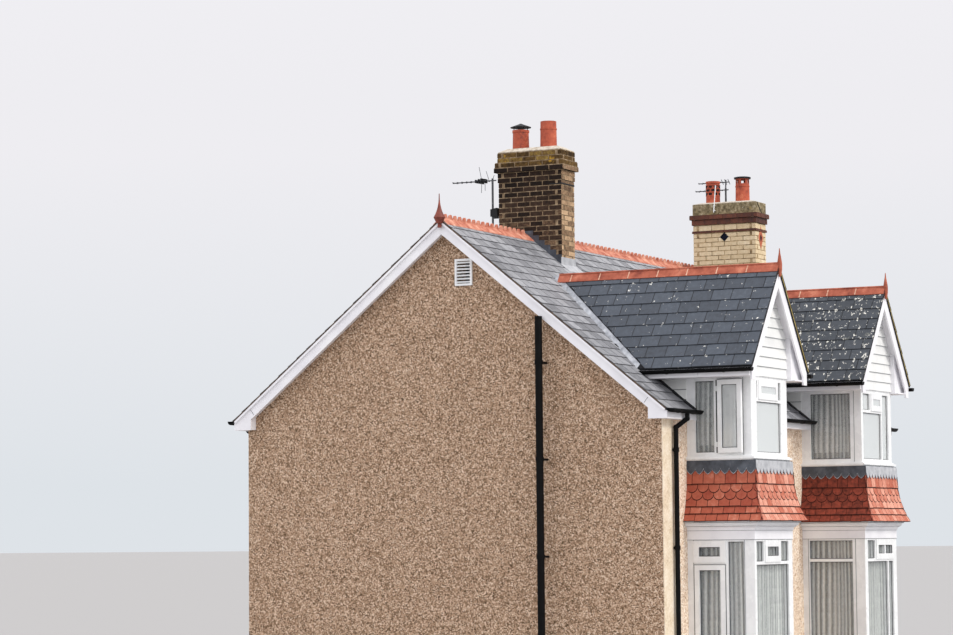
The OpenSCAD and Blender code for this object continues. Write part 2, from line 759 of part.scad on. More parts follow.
module soil_pipe() color("#1E1F21") {
  c = [x0 - soil_off, yf + soil_back];
  top = roof_z(c[1]) - soil_top_drop;
  translate([c[0], c[1], 0]) difference() {
    cylinder(r = soil_r, h = top, $fn = 32);
    translate([0, 0, top - soil_bore]) cylinder(r = soil_r - soil_wall, h = soil_bore + eps, $fn = 32);
  }
  for (z = [top - clip_pitch / 2 : -clip_pitch : collar_h]) collar(c, [x0, c[1]], soil_r, z);
}

module corner_strip() color("#EBD9B5")
  block([x0, yf - strip_t, 0], [x0 + strip_w, yf, eaves_box_z]);

// Brick stack over the roof: box [x, y, width, length], steps [height, how far it stands out]
module stack(b, steps, top) difference() {
  foot = min(roof_z(b[1]), roof_z(b[1] + b[3])) - course;
  s = concat([[foot, 0]], steps, [[top, 0]]);
  union() for (k = [0 : len(s) - 2])
    block([b[0] - s[k][1], b[1] - s[k][1], s[k][0]],
      [b[0] + b[2] + s[k][1], b[1] + b[3] + s[k][1], s[k + 1][0]]);
  under_roof();
}

// Sloped mortar bed on top of a stack
module mortar_bed(b, z, h) hull() {
  block([b[0], b[1], z], [b[0] + b[2], b[1] + b[3], z + h / 8]);
  block([b[0] + b[2] * 0.2, b[1] + b[3] * 0.1, z], [b[0] + b[2] * 0.8, b[1] + b[3] * 0.9, z + h]);
}

module left_chimney() color("#5A4A3A") {
  s = chimney1_steps;
  t = chimney1_top;
  stack(chimney1, [[t - 6 * course, s[0]], [t - 4 * course, s[1]], [t - 3 * course, s[2]],
    [t - 2 * course, s[3]]], t);
  mortar_bed(chimney1, t, bed_h);
}

module right_chimney() color("#F3E3BC") {
  s = chimney2_steps;
  t = chimney2_top;
  stack(chimney2, [[t - 6.4 * course, s[0]], [t - 5.9 * course, 0], [t - 4.6 * course, s[1]],
    [t - 3.4 * course, s[2]], [t - 2.4 * course, s[3]]], t);
  mortar_bed(chimney2, t, bed_h / 2);
}

// Feet of the four pots, part way up their mortar beds
function pot_foot(k) = let (b = k < 2 ? chimney1 : chimney2, back = k == 0 || k == 2)
  [b[0] + b[2] / 2, back ? b[1] + b[3] - pot_back : b[1] + pot_front,
    k < 2 ? chimney1_top + bed_h * 0.6 : chimney2_top + bed_h * 0.3];

// A round pot with a bore, and rolls round it: list of [height, roll height]
module pot(r, h, rolls) difference() {
  union() {
    cylinder(r1 = r, r2 = r * 0.94, h = h, $fn = 32);
    for (p = rolls) translate([0, 0, p[0]]) cylinder(r = r * 0.94 + roll_out, h = p[1], $fn = 32);
  }
  translate([0, 0, pot_wall * 2]) cylinder(r = r * 0.94 - pot_wall, h = h, $fn = 32);
}

module chimney_pots() color("#C8583A") difference() {
  union() {
    translate(pot_foot(0)) pot(pot_r, pot1_h, [[pot1_h - rim_h, rim_h]]);
    translate(pot_foot(1)) pot(pot_r, pot2_h, [[pot2_h * 0.7, roll_h]]);
    translate(pot_foot(2)) pot(slim_pot_r, pot3_h, [[pot3_h * 0.34, roll_h], [pot3_h * 0.52, roll_h],
      [pot3_h * 0.7, roll_h], [pot3_h - rim_h, rim_h]]);
    translate(pot_foot(3)) difference() {
      low = pot4_h - roll_h - pot_window_h;
      pot(slim_pot_r, pot4_h, [[low - roll_h * 3, roll_h]]);
      for (a = [0 : 60 : 120]) rotate([0, 0, a])
        block([-pot_window_w / 2, -pot_r * 2, low], [pot_window_w / 2, pot_r * 2, low + pot_window_h]);
    }
  }
  mortar_bed(chimney1, chimney1_top, bed_h);
  mortar_bed(chimney2, chimney2_top, bed_h / 2);
}

// Metal cone on legs over the left back pot, and a disc cap on the right front pot
module pot_cowls() color("#26272A") {
  translate(pot_foot(0) + [0, 0, pot1_h]) {
    translate([0, 0, cowl_gap]) rotate_extrude($fn = 32)
      polygon([[0, cowl_h * 0.35], [cowl_r * 0.85, 0], [cowl_r, 0], [cowl_r, cowl_h * 0.14],
        [cowl_r * 0.3, cowl_h * 0.76], [cowl_r * 0.06, cowl_h], [0, cowl_h]]);
    for (k = [0 : 3]) rotate([0, 0, 45 + 90 * k])
      translate([pot_r * 0.94 - pot_wall / 2 - cowl_leg / 2, -cowl_leg / 2, 0])
        cube([cowl_leg, cowl_leg, cowl_gap + cowl_h * 0.25]);
  }
  translate(pot_foot(3) + [0, 0, pot4_h]) rotate_extrude($fn = 32)
    polygon([[0, 0], [cap_r * 0.97, 0], [cap_r, cap_t * 0.4], [cap_r * 0.6, cap_t * 0.9], [0, cap_t]]);
}

// Mast at c held off a wall point, with a boom of thin rods towards the back
module aerial(c, wall, span, boom, rods) {
  z = ridge_z + span[1] - 2 * mast_r;
  foot = ridge_z + span[0];
  translate([c[0], c[1], foot]) cylinder(r = mast_r, h = span[1] - span[0], $fn = 16);
  for (h = [2, 14]) strap(c, wall, mast_r, foot + h * mast_r, foot + (h + 2) * mast_r);
  translate([c[0], c[1] - boom / 12, z]) rotate([-90, 0, 0]) cylinder(r = boom_r, h = boom, $fn = 16);
  for (k = [0 : rods - 1])
    translate([c[0] - rod_l / 2, c[1] + boom * (0.86 - 0.84 * k / rods), z])
      rotate([0, 90, 0]) cylinder(r = boom_r * 0.6, h = rod_l, $fn = 16);
}

module aerials() color("#55585C") {
  back = chimney1[1] + chimney1_l;
  y = chimney2[1] + chimney2_l - mast2_back;
  x = chimney1[0] + mast_r;
  aerial([x, back + mast_off + mast_r], [x, back], mast1_span, boom1_l, 8);
  aerial([x1 + mast_off + mast_r, y], [x1, y], mast2_span, boom2_l, 6);
}

// Bay wall under a ground window, on three sides, with the floor inside it
module bay_wall(i) color("#D9C3A0") {
  a = [house(i) + bay_x - ground_out, ground_y];
  b = a[0] + low_w;
  difference() {
    block([a[0], a[1], 0], [b, yf, ground_sill_z]);
    block([a[0] + bay_wall_t, a[1] + bay_wall_t, ground_floor_z], [b - bay_wall_t, yf + eps, far]);
  }
}
module bay_wall_left() bay_wall(0);
module bay_wall_right() bay_wall(1);

// Widths of the first n lights and the bars beside them
function span(v, n = undef) = let (m = is_undef(n) ? len(v) : n)
  m == 0 ? 0 : span(v, m - 1) + v[m - 1] + bar_w;
// Lights of widths v side by side from x, each [left, bottom, right, top]
function row(x, v, z0, z1) = [for (k = [0 : 1 : len(v) - 1])
  [x + span(v, k), z0, x + span(v, k) + v[k], z1]];
// A light made smaller by d on every side
function inset(p, d) = [p[0] + d, p[1] + d, p[2] - d, p[3] - d];

// A face is [posts, top lights left of the opening one, top lights right of it, whether it has an
// opening one, lower lights right of the main one, tall lights right of them all]
function split_w(w, f) = w - f[0][0] - f[0][1] - span(f[5]);
function top_row(w, z, f) = row(f[0][0],
  concat(f[1], [split_w(w, f) - span(f[1]) - span(f[2])], f[2]), z[1] + bar_w, z[2]);
// Panes of a face of width w; z has their bottom, transom and top
function panes(w, z, f) = let (tops = top_row(w, z, f), s = split_w(w, f)) concat(
  row(f[0][0], concat([s - span(f[4])], f[4]), z[0], z[1]),
  [for (k = [0 : len(tops) - 1]) f[3] && k == len(f[1]) ? inset(tops[k], sash_w) : tops[k]],
  row(f[0][0] + s + bar_w, f[5], z[0], z[2]));
// Opening light of a face
function sashes(w, z, f) = f[3] ? [top_row(w, z, f)[len(f[1])]] : [];
// Panes of a face without a transom, of which the last takes what is left
function plain_panes(w, z, posts, fixed) = row(posts[0],
  concat(fixed, [w - posts[0] - posts[1] - span(fixed)]), z[0], z[2]);

// Faces of the ground and upper windows
function low_front(i) = i == 0
  ? [low_front_posts_1, [low_front_tops_1[0]], [low_front_tops_1[1]], true, [], []]
  : [low_front_posts_2, [low_front_top_2], [], true, [low_front_low_2], []];
function low_side(i) = i == 0 ? [low_side_posts_1, [], [], true, [], [low_side_tall_1]]
  : [low_side_posts_2, [], [], false, [], []];
function high_front(i) = i == 0
  ? [high_front_posts_1, [high_front_tops_1[0]], [high_front_tops_1[1]], true, [], []]
  : [high_front_posts_2, [high_front_top_2], [], true, [], [high_front_tall_2]];
function high_side(i) = i == 0
  ? plain_panes(bay_out, high_z, high_side_posts_1, [high_side_fixed_1])
  : plain_panes(bay_out, high_z, high_side_posts_2, []);

// Flat frame with holes for its panes, in its own plane; raised frames round the opening lights
module face_frame(w, z0, z1, panes, sashes) {
  linear_extrude(frame_t) difference() {
    translate([0, z0]) square([w, z1 - z0]);
    for (p = panes) pane(p);
  }
  for (p = sashes)
    translate([0, 0, frame_t]) linear_extrude(sash_out) difference() {
      pane(inset(p, -sash_lap));
      pane(inset(p, sash_w));
    }
}
module pane(p) translate([p[0], p[1]]) square([p[2] - p[0], p[3] - p[1]]);

// Puts a face drawn in its own plane on the front, left or right of a bay box
module on_front(x, y) translate([x, y + frame_t, 0]) rotate([90, 0, 0]) children();
module on_left(x, y) translate([x + frame_t, y, 0]) rotate([90, 0, -90]) children();
module on_right(x, y) mirror([1, 0, 0]) on_left(-x, y);

// Three faced window of a bay, from z0 to z1, o beyond the upper window's faces
module bay_window(i, z0, z1, o, front, side, right, front_sash, side_sash) {
  x = house(i) + bay_x - o;
  w = bay_w + 2 * o;
  y = bay_y - o;
  on_front(x, y) face_frame(w, z0, z1, front, front_sash);
  difference() {
    union() {
      on_left(x, yf) face_frame(bay_out + o, z0, z1, side, side_sash);
      on_right(x + w, yf) face_frame(bay_out + o, z0, z1, right, []);
    }
    block([x - far, -far, -far], [x + w + far, y + frame_t, far]);
  }
  difference() {
    block([x - sill_out, y - sill_out, z0 - sill_t], [x + w + sill_out, yf, z0]);
    block([x + bay_wall_t, y + bay_wall_t, -far], [x + w - bay_wall_t, yf + eps, far]);
  }
}

module ground_window(i) color("#EDEFF0") bay_window(i, ground_sill_z + sill_t, ground_head_z,
  ground_out, panes(low_w, low_z, low_front(i)), panes(low_l, low_z, low_side(i)),
  panes(low_l, low_z, low_side(1)), sashes(low_w, low_z, low_front(i)),
  sashes(low_l, low_z, low_side(i)));
module ground_window_left() ground_window(0);
module ground_window_right() ground_window(1);

// Outline of the frieze and moulded cornice, from below: how far it stands out, and its height
function cornice_pts() = let (z = ground_head_z + frieze_h, o = cornice_out, h = cornice_h,
    hollow = h * 0.16, swell = h * 0.2)
  concat([[frieze_out, ground_head_z], [frieze_out, z], [o * 0.4 - hollow, z]],
    arc([o * 0.4, z + h * 0.17], hollow, 180, 90),
    [[o * 0.4 + o * 0.02, z + h * 0.33], [o * 0.42, z + h * 0.43]],
    arc([o - 2 * swell, z + h * 0.43 + swell], swell, -90, 0),
    arc([o, z + h * 0.43 + swell], swell, 180, 90),
    [[o, cornice_z]]);

// Block round a bay box at x, y of width w, whose sides follow an outline
module round_bay(x, y, w, pts) intersection() {
  m = 2 * max([for (p = pts) p[0]]);
  n = len(pts) - 1;
  along_y(y - m, yf - y + m) polygon(concat([for (p = pts) [x - p[0], p[1]]],
    [for (k = [n : -1 : 0]) [x + w + pts[k][0], pts[k][1]]]));
  along_x(x - m, w + 2 * m) polygon(concat([for (p = pts) [y - p[0], p[1]]],
    [[yf, pts[n][1]], [yf, pts[0][1]]]));
}

// Solid between the storeys of each bay: frieze, moulded cornice and floor
module bay_cornices() color("#F0F1F2") for (i = [0, 1])
  round_bay(house(i) + bay_x - ground_out, ground_y, low_w, cornice_pts());

// Flared outline of the tile skirt
function skirt_pts() = [for (k = [0 : 12]) let (t = k / 12)
  [flare * pow(1 - t, 2.2), cornice_z + t * (tile_top_z - cornice_z)]];

module tile_skirt(i) color("#B9574A") {
  x = house(i) + bay_x - apron_side;
  w = bay_w + 2 * apron_side;
  y = bay_y - apron_front;
  difference() {
    round_bay(x, y, w, skirt_pts());
    block([x + bay_wall_t, y + bay_wall_t, 0], [x + w - bay_wall_t, yf + eps, far]);
  }
}
module tile_skirt_left() tile_skirt(0);
module tile_skirt_right() tile_skirt(1);

// Lead dressed over the top of the tiles, under the upper sill
module lead_aprons() color("#444A55") for (i = [0, 1]) difference() {
  a = [house(i) + bay_x - apron_side, bay_y - apron_front];
  b = a[0] + bay_w + 2 * apron_side;
  block([a[0], a[1], tile_top_z], [b, yf, upper_sill_z]);
  block([a[0] + bay_wall_t, a[1] + bay_wall_t, 0], [b - bay_wall_t, yf + eps, far]);
}

module upper_window(i) color("#EDEFF0") {
  a = house(i) + bay_x;
  b = a + bay_w;
  top = upper_head_z + head_board;
  bay_window(i, upper_sill_z + sill_t, upper_head_z, 0, panes(bay_w, high_z, high_front(i)),
    high_side(i), high_side(1), sashes(bay_w, high_z, high_front(i)), []);
  block([a, bay_y, upper_head_z], [b, yf, top]);
  difference() {
    block([a, yf, upper_head_z], [b, roof_y(top), top]);
    under_roof(-far, a + cheek_t + far);
    under_roof(b - cheek_t, far);
  }
}
module upper_window_left() upper_window(0);
module upper_window_right() upper_window(1);

// Casement of the left bay, swung out on hinges that reach over the mullion
module open_casement() color("#F2F3F3") {
  p = inset(high_side(0)[1], -sash_lap);
  w = p[2] - p[0];
  pin = knuckle_r * 8 / 7;
  translate([x0 + bay_x - pin, yf - p[0] - casement_gap, 0]) {
    rotate([0, 0, -casement_open]) difference() {
      block([-leaf_t, -w, p[1]], [0, 0, p[3]]);
      for (x = [[-leaf_t * 2, -(leaf_t + glass_t) / 2], [-(leaf_t - glass_t) / 2, leaf_t]])
        block([x[0], leaf_stile - w, p[1] + leaf_stile], [x[1], -leaf_stile, p[3] - leaf_stile]);
    }
    for (z = [p[1] + hinge_in, p[3] - hinge_in - hinge_h]) {
      translate([0, 0, z]) cylinder(r = knuckle_r, h = hinge_h, $fn = 16);
      block([0, 0, z], [pin, 4 * knuckle_r + casement_gap, z + hinge_h]);
    }
  }
}

// Glass sheets that fill a face's panes
module face_glass(panes) translate([0, 0, frame_t / 2 - glass_t / 2]) linear_extrude(glass_t)
  for (p = panes) pane(p);

module bay_glass(i) color("#9FB0B8") {
  x = house(i) + bay_x;
  on_front(x - ground_out, ground_y) face_glass(panes(low_w, low_z, low_front(i)));
  on_left(x - ground_out, yf) face_glass(panes(low_l, low_z, low_side(i)));
  on_right(x + bay_w + ground_out, yf) face_glass(panes(low_l, low_z, low_side(1)));
  on_front(x, bay_y) face_glass(panes(bay_w, high_z, high_front(i)));
  on_left(x, yf) face_glass([high_side(i)[0]]);
  on_right(x + bay_w, yf) face_glass(high_side(1));
}
module bay_glass_left() bay_glass(0);
module bay_glass_right() bay_glass(1);

// Two slopes of a gablet that die into the main roof, only slates over the bargeboards
module gablet_roof(i) color("#555C66") difference() {
  translate([gablet_x(i), 0, 0]) for (s = [-1, 1]) {
    edge = [[0, gablet_ridge_z], [s * gablet_half, gablet_eaves_z], [s * gablet_half, gablet_low_z]];
    along_y(gablet_y, -gablet_y) polygon(concat(edge,
      [[s * (gablet_half - slate_edge / gablet_tan), gablet_low_z], [0, gablet_ridge_z - 2 * slate_edge]]));
    along_y(gablet_back, -gablet_back) polygon(concat(edge,
      [[s * gablet_under(gablet_low_z), gablet_low_z], [0, gablet_ridge_z - gablet_v]]));
  }
  under_roof();
}
module gablet_roof_left() gablet_roof(0);
module gablet_roof_right() gablet_roof(1);

// Plain angular ridge tiles, with a spike finial that hangs down over the front verge
module gablet_ridges() color("#C0674F") for (i = [0, 1]) {
  leg = gablet_leg * cos(gablet_pitch);
  drop = gablet_leg * sin(gablet_pitch);
  t = ridge_tile_t;
  r = gablet_finial_r;
  h = gablet_finial_h;
  d = gablet_finial_drop;
  difference() {
    along_y(gablet_y, -gablet_ridge_back - gablet_y) translate([gablet_x(i), gablet_ridge_z]) {
      polygon([[0, t * 1.6], [leg + t * 0.7, t * 0.6 - drop], [leg, -drop], [0, 0], [-leg, -drop],
        [-leg - t * 0.7, t * 0.6 - drop]]);
      translate([0, t * 1.15]) circle(r = t * 0.9, $fn = 24);
    }
    under_roof();
  }
  difference() {
    translate([gablet_x(i), gablet_y - r / 4, gablet_ridge_z]) rotate_extrude($fn = 24)
      polygon([[0, -d], [r * 0.35, -d], [r * 0.62, -d * 0.86], [r * 0.95, -d * 0.4], [r, h * 0.06],
        [r * 0.86, h * 0.24], [r * 0.55, h * 0.56], [r * 0.3, h * 0.8], [r * 0.14, h + t], [0, h + t]]);
    intersection() {
      block([-far, gablet_y, -far], [far, 0, far]);
      under_gablet(i, -t / 2);
    }
  }
}

// White bargeboards with plumb feet, and the sloped soffits behind them
module gablet_bargeboards() color("#F2F3F5") for (i = [0, 1]) translate([gablet_x(i), 0, 0]) {
  top = gablet_ridge_z - 2 * slate_edge;
  out = gablet_half - gablet_foot_in;
  in = out - gablet_foot_w;
  along_y(gablet_barge_y, barge_t) for (s = [-1, 1])
    polygon([[0, top], [s * out, top - out * gablet_tan], [s * out, gablet_foot_z],
      [s * in, gablet_foot_z], [s * in, top - gablet_barge_v - in * gablet_tan],
      [0, top - gablet_barge_v]]);
  along_y(gablet_back, bay_y - gablet_back) for (s = [-1, 1])
    polygon([[0, gablet_ridge_z - gablet_v], [0, gablet_ridge_z - gablet_v - board_t],
      [s * gablet_under(gablet_low_z + board_t), gablet_low_z],
      [s * gablet_under(gablet_low_z), gablet_low_z]]);
}

// Boarded front triangle and the cheeks above the main roof
module gablet_boarding() color("#F4F5F3") for (i = [0, 1]) {
  a = house(i) + bay_x;
  b = a + bay_w;
  intersection() {
    block([a, bay_y, upper_head_z + head_board], [b, bay_y + boarding_t, far]);
    under_gablet(i, gablet_v);
  }
  for (x = [a, b - cheek_t]) difference() {
    block([x, yf, roof_z(yf) - roof_v], [x + cheek_t, roof_y(upper_head_z + head_board), upper_head_z]);
    under_roof();
  }
}

// Soffit, fascia and boxed front end along both sides of the gablets
module gablet_eaves() color("#E9EAEE") for (i = [0, 1], s = [-1, 1]) difference() {
  side = house(i) + bay_x + (s < 0 ? 0 : bay_w);
  out = gablet_x(i) + s * gablet_half;
  front = gablet_back + gablet_box_set;
  union() {
    block([side, gablet_back, upper_head_z], [out, 0, upper_head_z + board_t]);
    block([out - s * board_t, gablet_back, upper_head_z], [out, 0, gablet_low_z]);
    intersection() {
      union() {
        block([side - s * board_t, front, upper_head_z], [out, front + board_t, far]);
        block([side - s * board_t, front, upper_head_z], [side, bay_y, far]);
      }
      union() {
        under_gablet(i, gablet_v + board_t);
        block([-far, -far, 0], [far, far, gablet_low_z]);
      }
    }
  }
  under_roof();
}

// Door with frame and panels in its opening; s is -1 in front and 1 at the back
module door(x, s) {
  f = door_frame;
  y = s * (depth / 2 - reveal - door_frame_t / 2);
  panel_w = (door_w - 7 * f) / 2;
  lock_z = door_h * 0.42;
  translate([x, 0, ground_floor_z]) {
    difference() {
      block([0, y - door_frame_t / 2, 0], [door_w, y + door_frame_t / 2, door_h]);
      block([f, -far, 0], [door_w - f, far, door_h - f]);
    }
    difference() {
      block([f, y - door_t / 2, 0], [door_w - f, y + door_t / 2, door_h - f]);
      for (side = [-1, 1], a = [5 / 2 * f, 9 / 2 * f + panel_w],
          z = [[3 * f, lock_z - f], [lock_z + f, door_h - 3 * f]])
        block([a, y + side * (door_t / 2 - panel_sunk), z[0]], [a + panel_w, y + side * door_t, z[1]]);
    }
    block([0, y, 0], [door_w, s * (depth / 2 + sill_out), sill_t / 2]);
  }
}

module doors() color("#6C7B86") for (i = [0, 1]) {
  door(house(i) + door_x, -1);
  door(back_x(i, back_door_x, door_w), 1);
}

// Window with a mullion in a wall opening, its glass and a sill outside
module wall_window(x, z, w, h, s) {
  y = s * (depth / 2 - reveal - frame_t / 2);
  difference() {
    block([x, y - frame_t / 2, z], [x + w, y + frame_t / 2, z + h]);
    for (a = [[x + sash_w, x + (w - bar_w) / 2], [x + (w + bar_w) / 2, x + w - sash_w]], side = [-1, 1])
      block([a[0], y + side * glass_t / 2, z + sash_w], [a[1], y + side * frame_t, z + h - sash_w]);
  }
  block([x, y, z], [x + w, s * (depth / 2 + sill_out), z + sill_t / 2]);
}

module wall_windows() color("#EDEFF0") for (i = [0, 1]) {
  wall_window(small_x(i), high_sill_z, small_w, small_h, -1);
  for (b = back_lights()) wall_window(back_x(i, back_win_x, back_win_w), b[0], back_win_w, b[1], 1);
}

left_gable_wall();
right_gable_wall();
party_wall();
front_wall_left();
front_wall_right();
back_wall_left();
back_wall_right();
ground_floors();
upper_floors();
front_roof();
back_roof();
main_ridge();
gable_finials();
left_bargeboards();
right_bargeboards();
eaves_boards();
eaves_gutters();
downpipes();
gable_vent();
soil_pipe();
corner_strip();
left_chimney();
right_chimney();
chimney_pots();
pot_cowls();
aerials();
bay_wall_left();
bay_wall_right();
ground_window_left();
ground_window_right();
bay_cornices();
tile_skirt_left();
tile_skirt_right();
lead_aprons();
upper_window_left();
upper_window_right();
open_casement();
bay_glass_left();
bay_glass_right();
gablet_roof_left();
gablet_roof_right();
gablet_ridges();
gablet_bargeboards();
gablet_boarding();
gablet_eaves();
doors();
wall_windows();
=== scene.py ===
import math
import random

import bmesh
import bpy
from mathutils import Matrix, Vector


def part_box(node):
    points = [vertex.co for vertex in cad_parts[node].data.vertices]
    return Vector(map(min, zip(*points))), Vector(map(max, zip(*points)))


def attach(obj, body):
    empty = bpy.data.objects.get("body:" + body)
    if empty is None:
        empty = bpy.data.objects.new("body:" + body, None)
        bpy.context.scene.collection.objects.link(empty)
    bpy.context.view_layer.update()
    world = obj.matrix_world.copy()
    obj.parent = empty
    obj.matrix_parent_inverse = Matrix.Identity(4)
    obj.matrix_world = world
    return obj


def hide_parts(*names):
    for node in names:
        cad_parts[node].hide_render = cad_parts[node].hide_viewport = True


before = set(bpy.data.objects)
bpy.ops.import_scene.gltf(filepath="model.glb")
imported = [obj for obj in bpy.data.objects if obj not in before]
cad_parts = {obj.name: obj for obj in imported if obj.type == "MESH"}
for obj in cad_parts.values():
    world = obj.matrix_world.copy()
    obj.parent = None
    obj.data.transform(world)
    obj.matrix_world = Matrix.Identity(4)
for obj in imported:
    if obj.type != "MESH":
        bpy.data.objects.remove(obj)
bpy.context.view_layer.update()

dice = random.Random(11)      # every unevenness comes from this one seed
mm = 0.001
tau = 2 * math.pi

# Places read from the frame, in metres
roofLow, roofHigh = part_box("front_roof")
ridgeZ, eavesY, vergeX = roofHigh[2], -roofLow[1], -roofLow[0]
mainPitch = math.radians(38.9)
mainTan = math.tan(mainPitch)
mainLong = eavesY / math.cos(mainPitch)      # length of the main slope
eavesZ = ridgeZ - eavesY * mainTan
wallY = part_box("left_gable_wall")[0][1]
boardLow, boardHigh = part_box("gablet_boarding")
bayWide = 1.385
bayLeft = [boardLow[0], boardHigh[0] - bayWide]      # left side of each upper bay window
bayY = boardLow[1]
groundBox = [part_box("bay_wall_left"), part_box("bay_wall_right")]
groundY = groundBox[0][0][1]
groundWide = groundBox[0][1][0] - groundBox[0][0][0]
gabletBox = [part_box("gablet_roof_left"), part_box("gablet_roof_right")]
gabletX = [(low[0] + high[0]) / 2 for low, high in gabletBox]
gabletHalf = (gabletBox[0][1][0] - gabletBox[0][0][0]) / 2
gabletTop, gabletFront, gabletEaves = gabletBox[0][1][2], gabletBox[0][0][1], 5.0
gabletTan = (gabletTop - gabletEaves) / gabletHalf
gabletPitch = math.atan(gabletTan)
gabletLong = gabletHalf / math.cos(gabletPitch)      # length of a gablet's slope
valleyStart = (ridgeZ - gabletTop) / mainTan      # how far in front of the ridge a gablet's ridge dies
valleyRun = gabletTan / mainTan      # how far the valley comes forward for each metre sideways
sides = ("left", "right")


# Colour, nodes and materials

def toLinear(code):      # an sRGB hex value as linear light
    parts = [int(code[k:k + 2], 16) / 255 for k in (1, 3, 5)]
    return tuple(v / 12.92 if v <= 0.04045 else ((v + 0.055) / 1.055) ** 2.4 for v in parts) + (1.0,)


def addNode(tree, kind, settings=None, links=None):      # one node with its settings and links
    node = tree.nodes.new("ShaderNode" + kind)
    for key, value in (settings or {}).items():
        if key == "stops":
            ramp = node.color_ramp
            while len(ramp.elements) < len(value):
                ramp.elements.new(0.5)
            for element, (place, colour) in zip(ramp.elements, value):
                element.position, element.color = place, colour
        elif isinstance(key, int) or key in node.inputs:
            node.inputs[key].default_value = value
        else:
            setattr(node, key, value)
    for key, socket in (links or {}).items():
        tree.links.new(socket, node.inputs[key])
    return node


def newMaterial(name, settings):      # an empty material with its shader, and where patterns are measured
    material = bpy.data.materials.new(name)
    material.use_nodes = True
    tree = material.node_tree
    tree.nodes.clear()
    shader = addNode(tree, "BsdfPrincipled", settings)
    addNode(tree, "OutputMaterial", None, {"Surface": shader.outputs[0]})
    where = addNode(tree, "TexCoord").outputs["Object"]
    return material, tree, shader, where


usual = {"mottle": 60, "detail": 5.0, "rough": (0.85, 1.0), "specular": 0.5, "metallic": 0.0, "spots": []}
middle = {"From Min": 0.3, "From Max": 0.7}      # where most of a noise's values lie
spotted = {"none": 0.72, "share": 0.42}      # noise above none less a share's part of this is spotted
foldEnds = (0.14, 0.86)      # the values at which a net's folds are painted darkest and lightest


def weathered(name, look):      # a material from its colours, grain, spots and relief, with sizes in mm
    look = {**usual, **look}
    material, tree, shader, where = newMaterial(name, {
        "Metallic": look["metallic"], "IOR": 1.5, "Specular IOR Level": look["specular"], "Coat Weight": 0.0})
    mottle = addNode(tree, "TexNoise", {
        "Scale": 1 / (look["mottle"] * mm), "Detail": look["detail"], "Roughness": 0.6},
        {"Vector": where}).outputs[0]
    value = addNode(tree, "MapRange", middle, {"Value": mottle}).outputs[0]
    if "grain" in look:      # size, and the share of the colour taken by single pebbles
        size, share = look["grain"]
        cells = addNode(tree, "TexVoronoi", {"Scale": 1 / (size * mm)}, {"Vector": where}).outputs["Color"]
        cells = addNode(tree, "MapRange", {"From Min": 0.12, "From Max": 0.88}, {"Value": cells}).outputs[0]
        value = addNode(tree, "Mix", {"data_type": "FLOAT", "Factor": share}, {2: value, 3: cells}).outputs[0]
    if "tone" in look:      # how much of the colour is each brick's, slate's or tile's own
        tone = addNode(tree, "Attribute", {"attribute_name": "tone"}).outputs["Fac"]
        value = addNode(tree, "Mix", {"data_type": "FLOAT", "Factor": look["tone"]},
                        {2: value, 3: tone}).outputs[0]
    colours = look["colours"].split()
    stops = [(k / (len(colours) - 1), toLinear(c)) for k, c in enumerate(colours)]
    colour = addNode(tree, "ValToRGB", {"stops": stops}, {"Fac": value}).outputs[0]
    for code, size, cover, soft, tall in look["spots"]:      # colour, size, share, how soft, stretch upright
        spread = addNode(tree, "Mapping", {"Scale": (1, 1, 1 / tall)}, {"Vector": where}).outputs[0]
        spread = addNode(tree, "TexNoise", {"Scale": 1 / (size * mm), "Detail": 4.0, "Roughness": 0.65},
                         {"Vector": spread}).outputs[0]
        edge = spotted["none"] - spotted["share"] * cover
        limits = {"From Min": edge, "From Max": edge + soft}
        mask = addNode(tree, "MapRange", limits, {"Value": spread}).outputs[0]
        spot = {"data_type": "RGBA", 7: toLinear(code)}
        colour = addNode(tree, "Mix", spot, {0: mask, 6: colour}).outputs[2]
    tree.links.new(colour, shader.inputs["Base Color"])
    low, high = look["rough"]
    rough = addNode(tree, "MapRange", {**middle, "To Min": low, "To Max": high}, {"Value": mottle}).outputs[0]
    tree.links.new(rough, shader.inputs["Roughness"])
    normal = {}
    for size, deep, *cells in look["relief"]:      # grain and depth, of noise or of round cells
        kind = "TexVoronoi" if cells else "TexNoise"
        height = addNode(tree, kind, {"Scale": 1 / (size * mm)}, {"Vector": where}).outputs[0]
        bump = addNode(tree, "Bump", {"Distance": deep * mm, "Strength": 1.0, "invert": bool(cells)},
                       {"Height": height, **normal}).outputs[0]
        normal = {"Normal": bump}
    tree.links.new(bump, shader.inputs["Normal"])
    return material


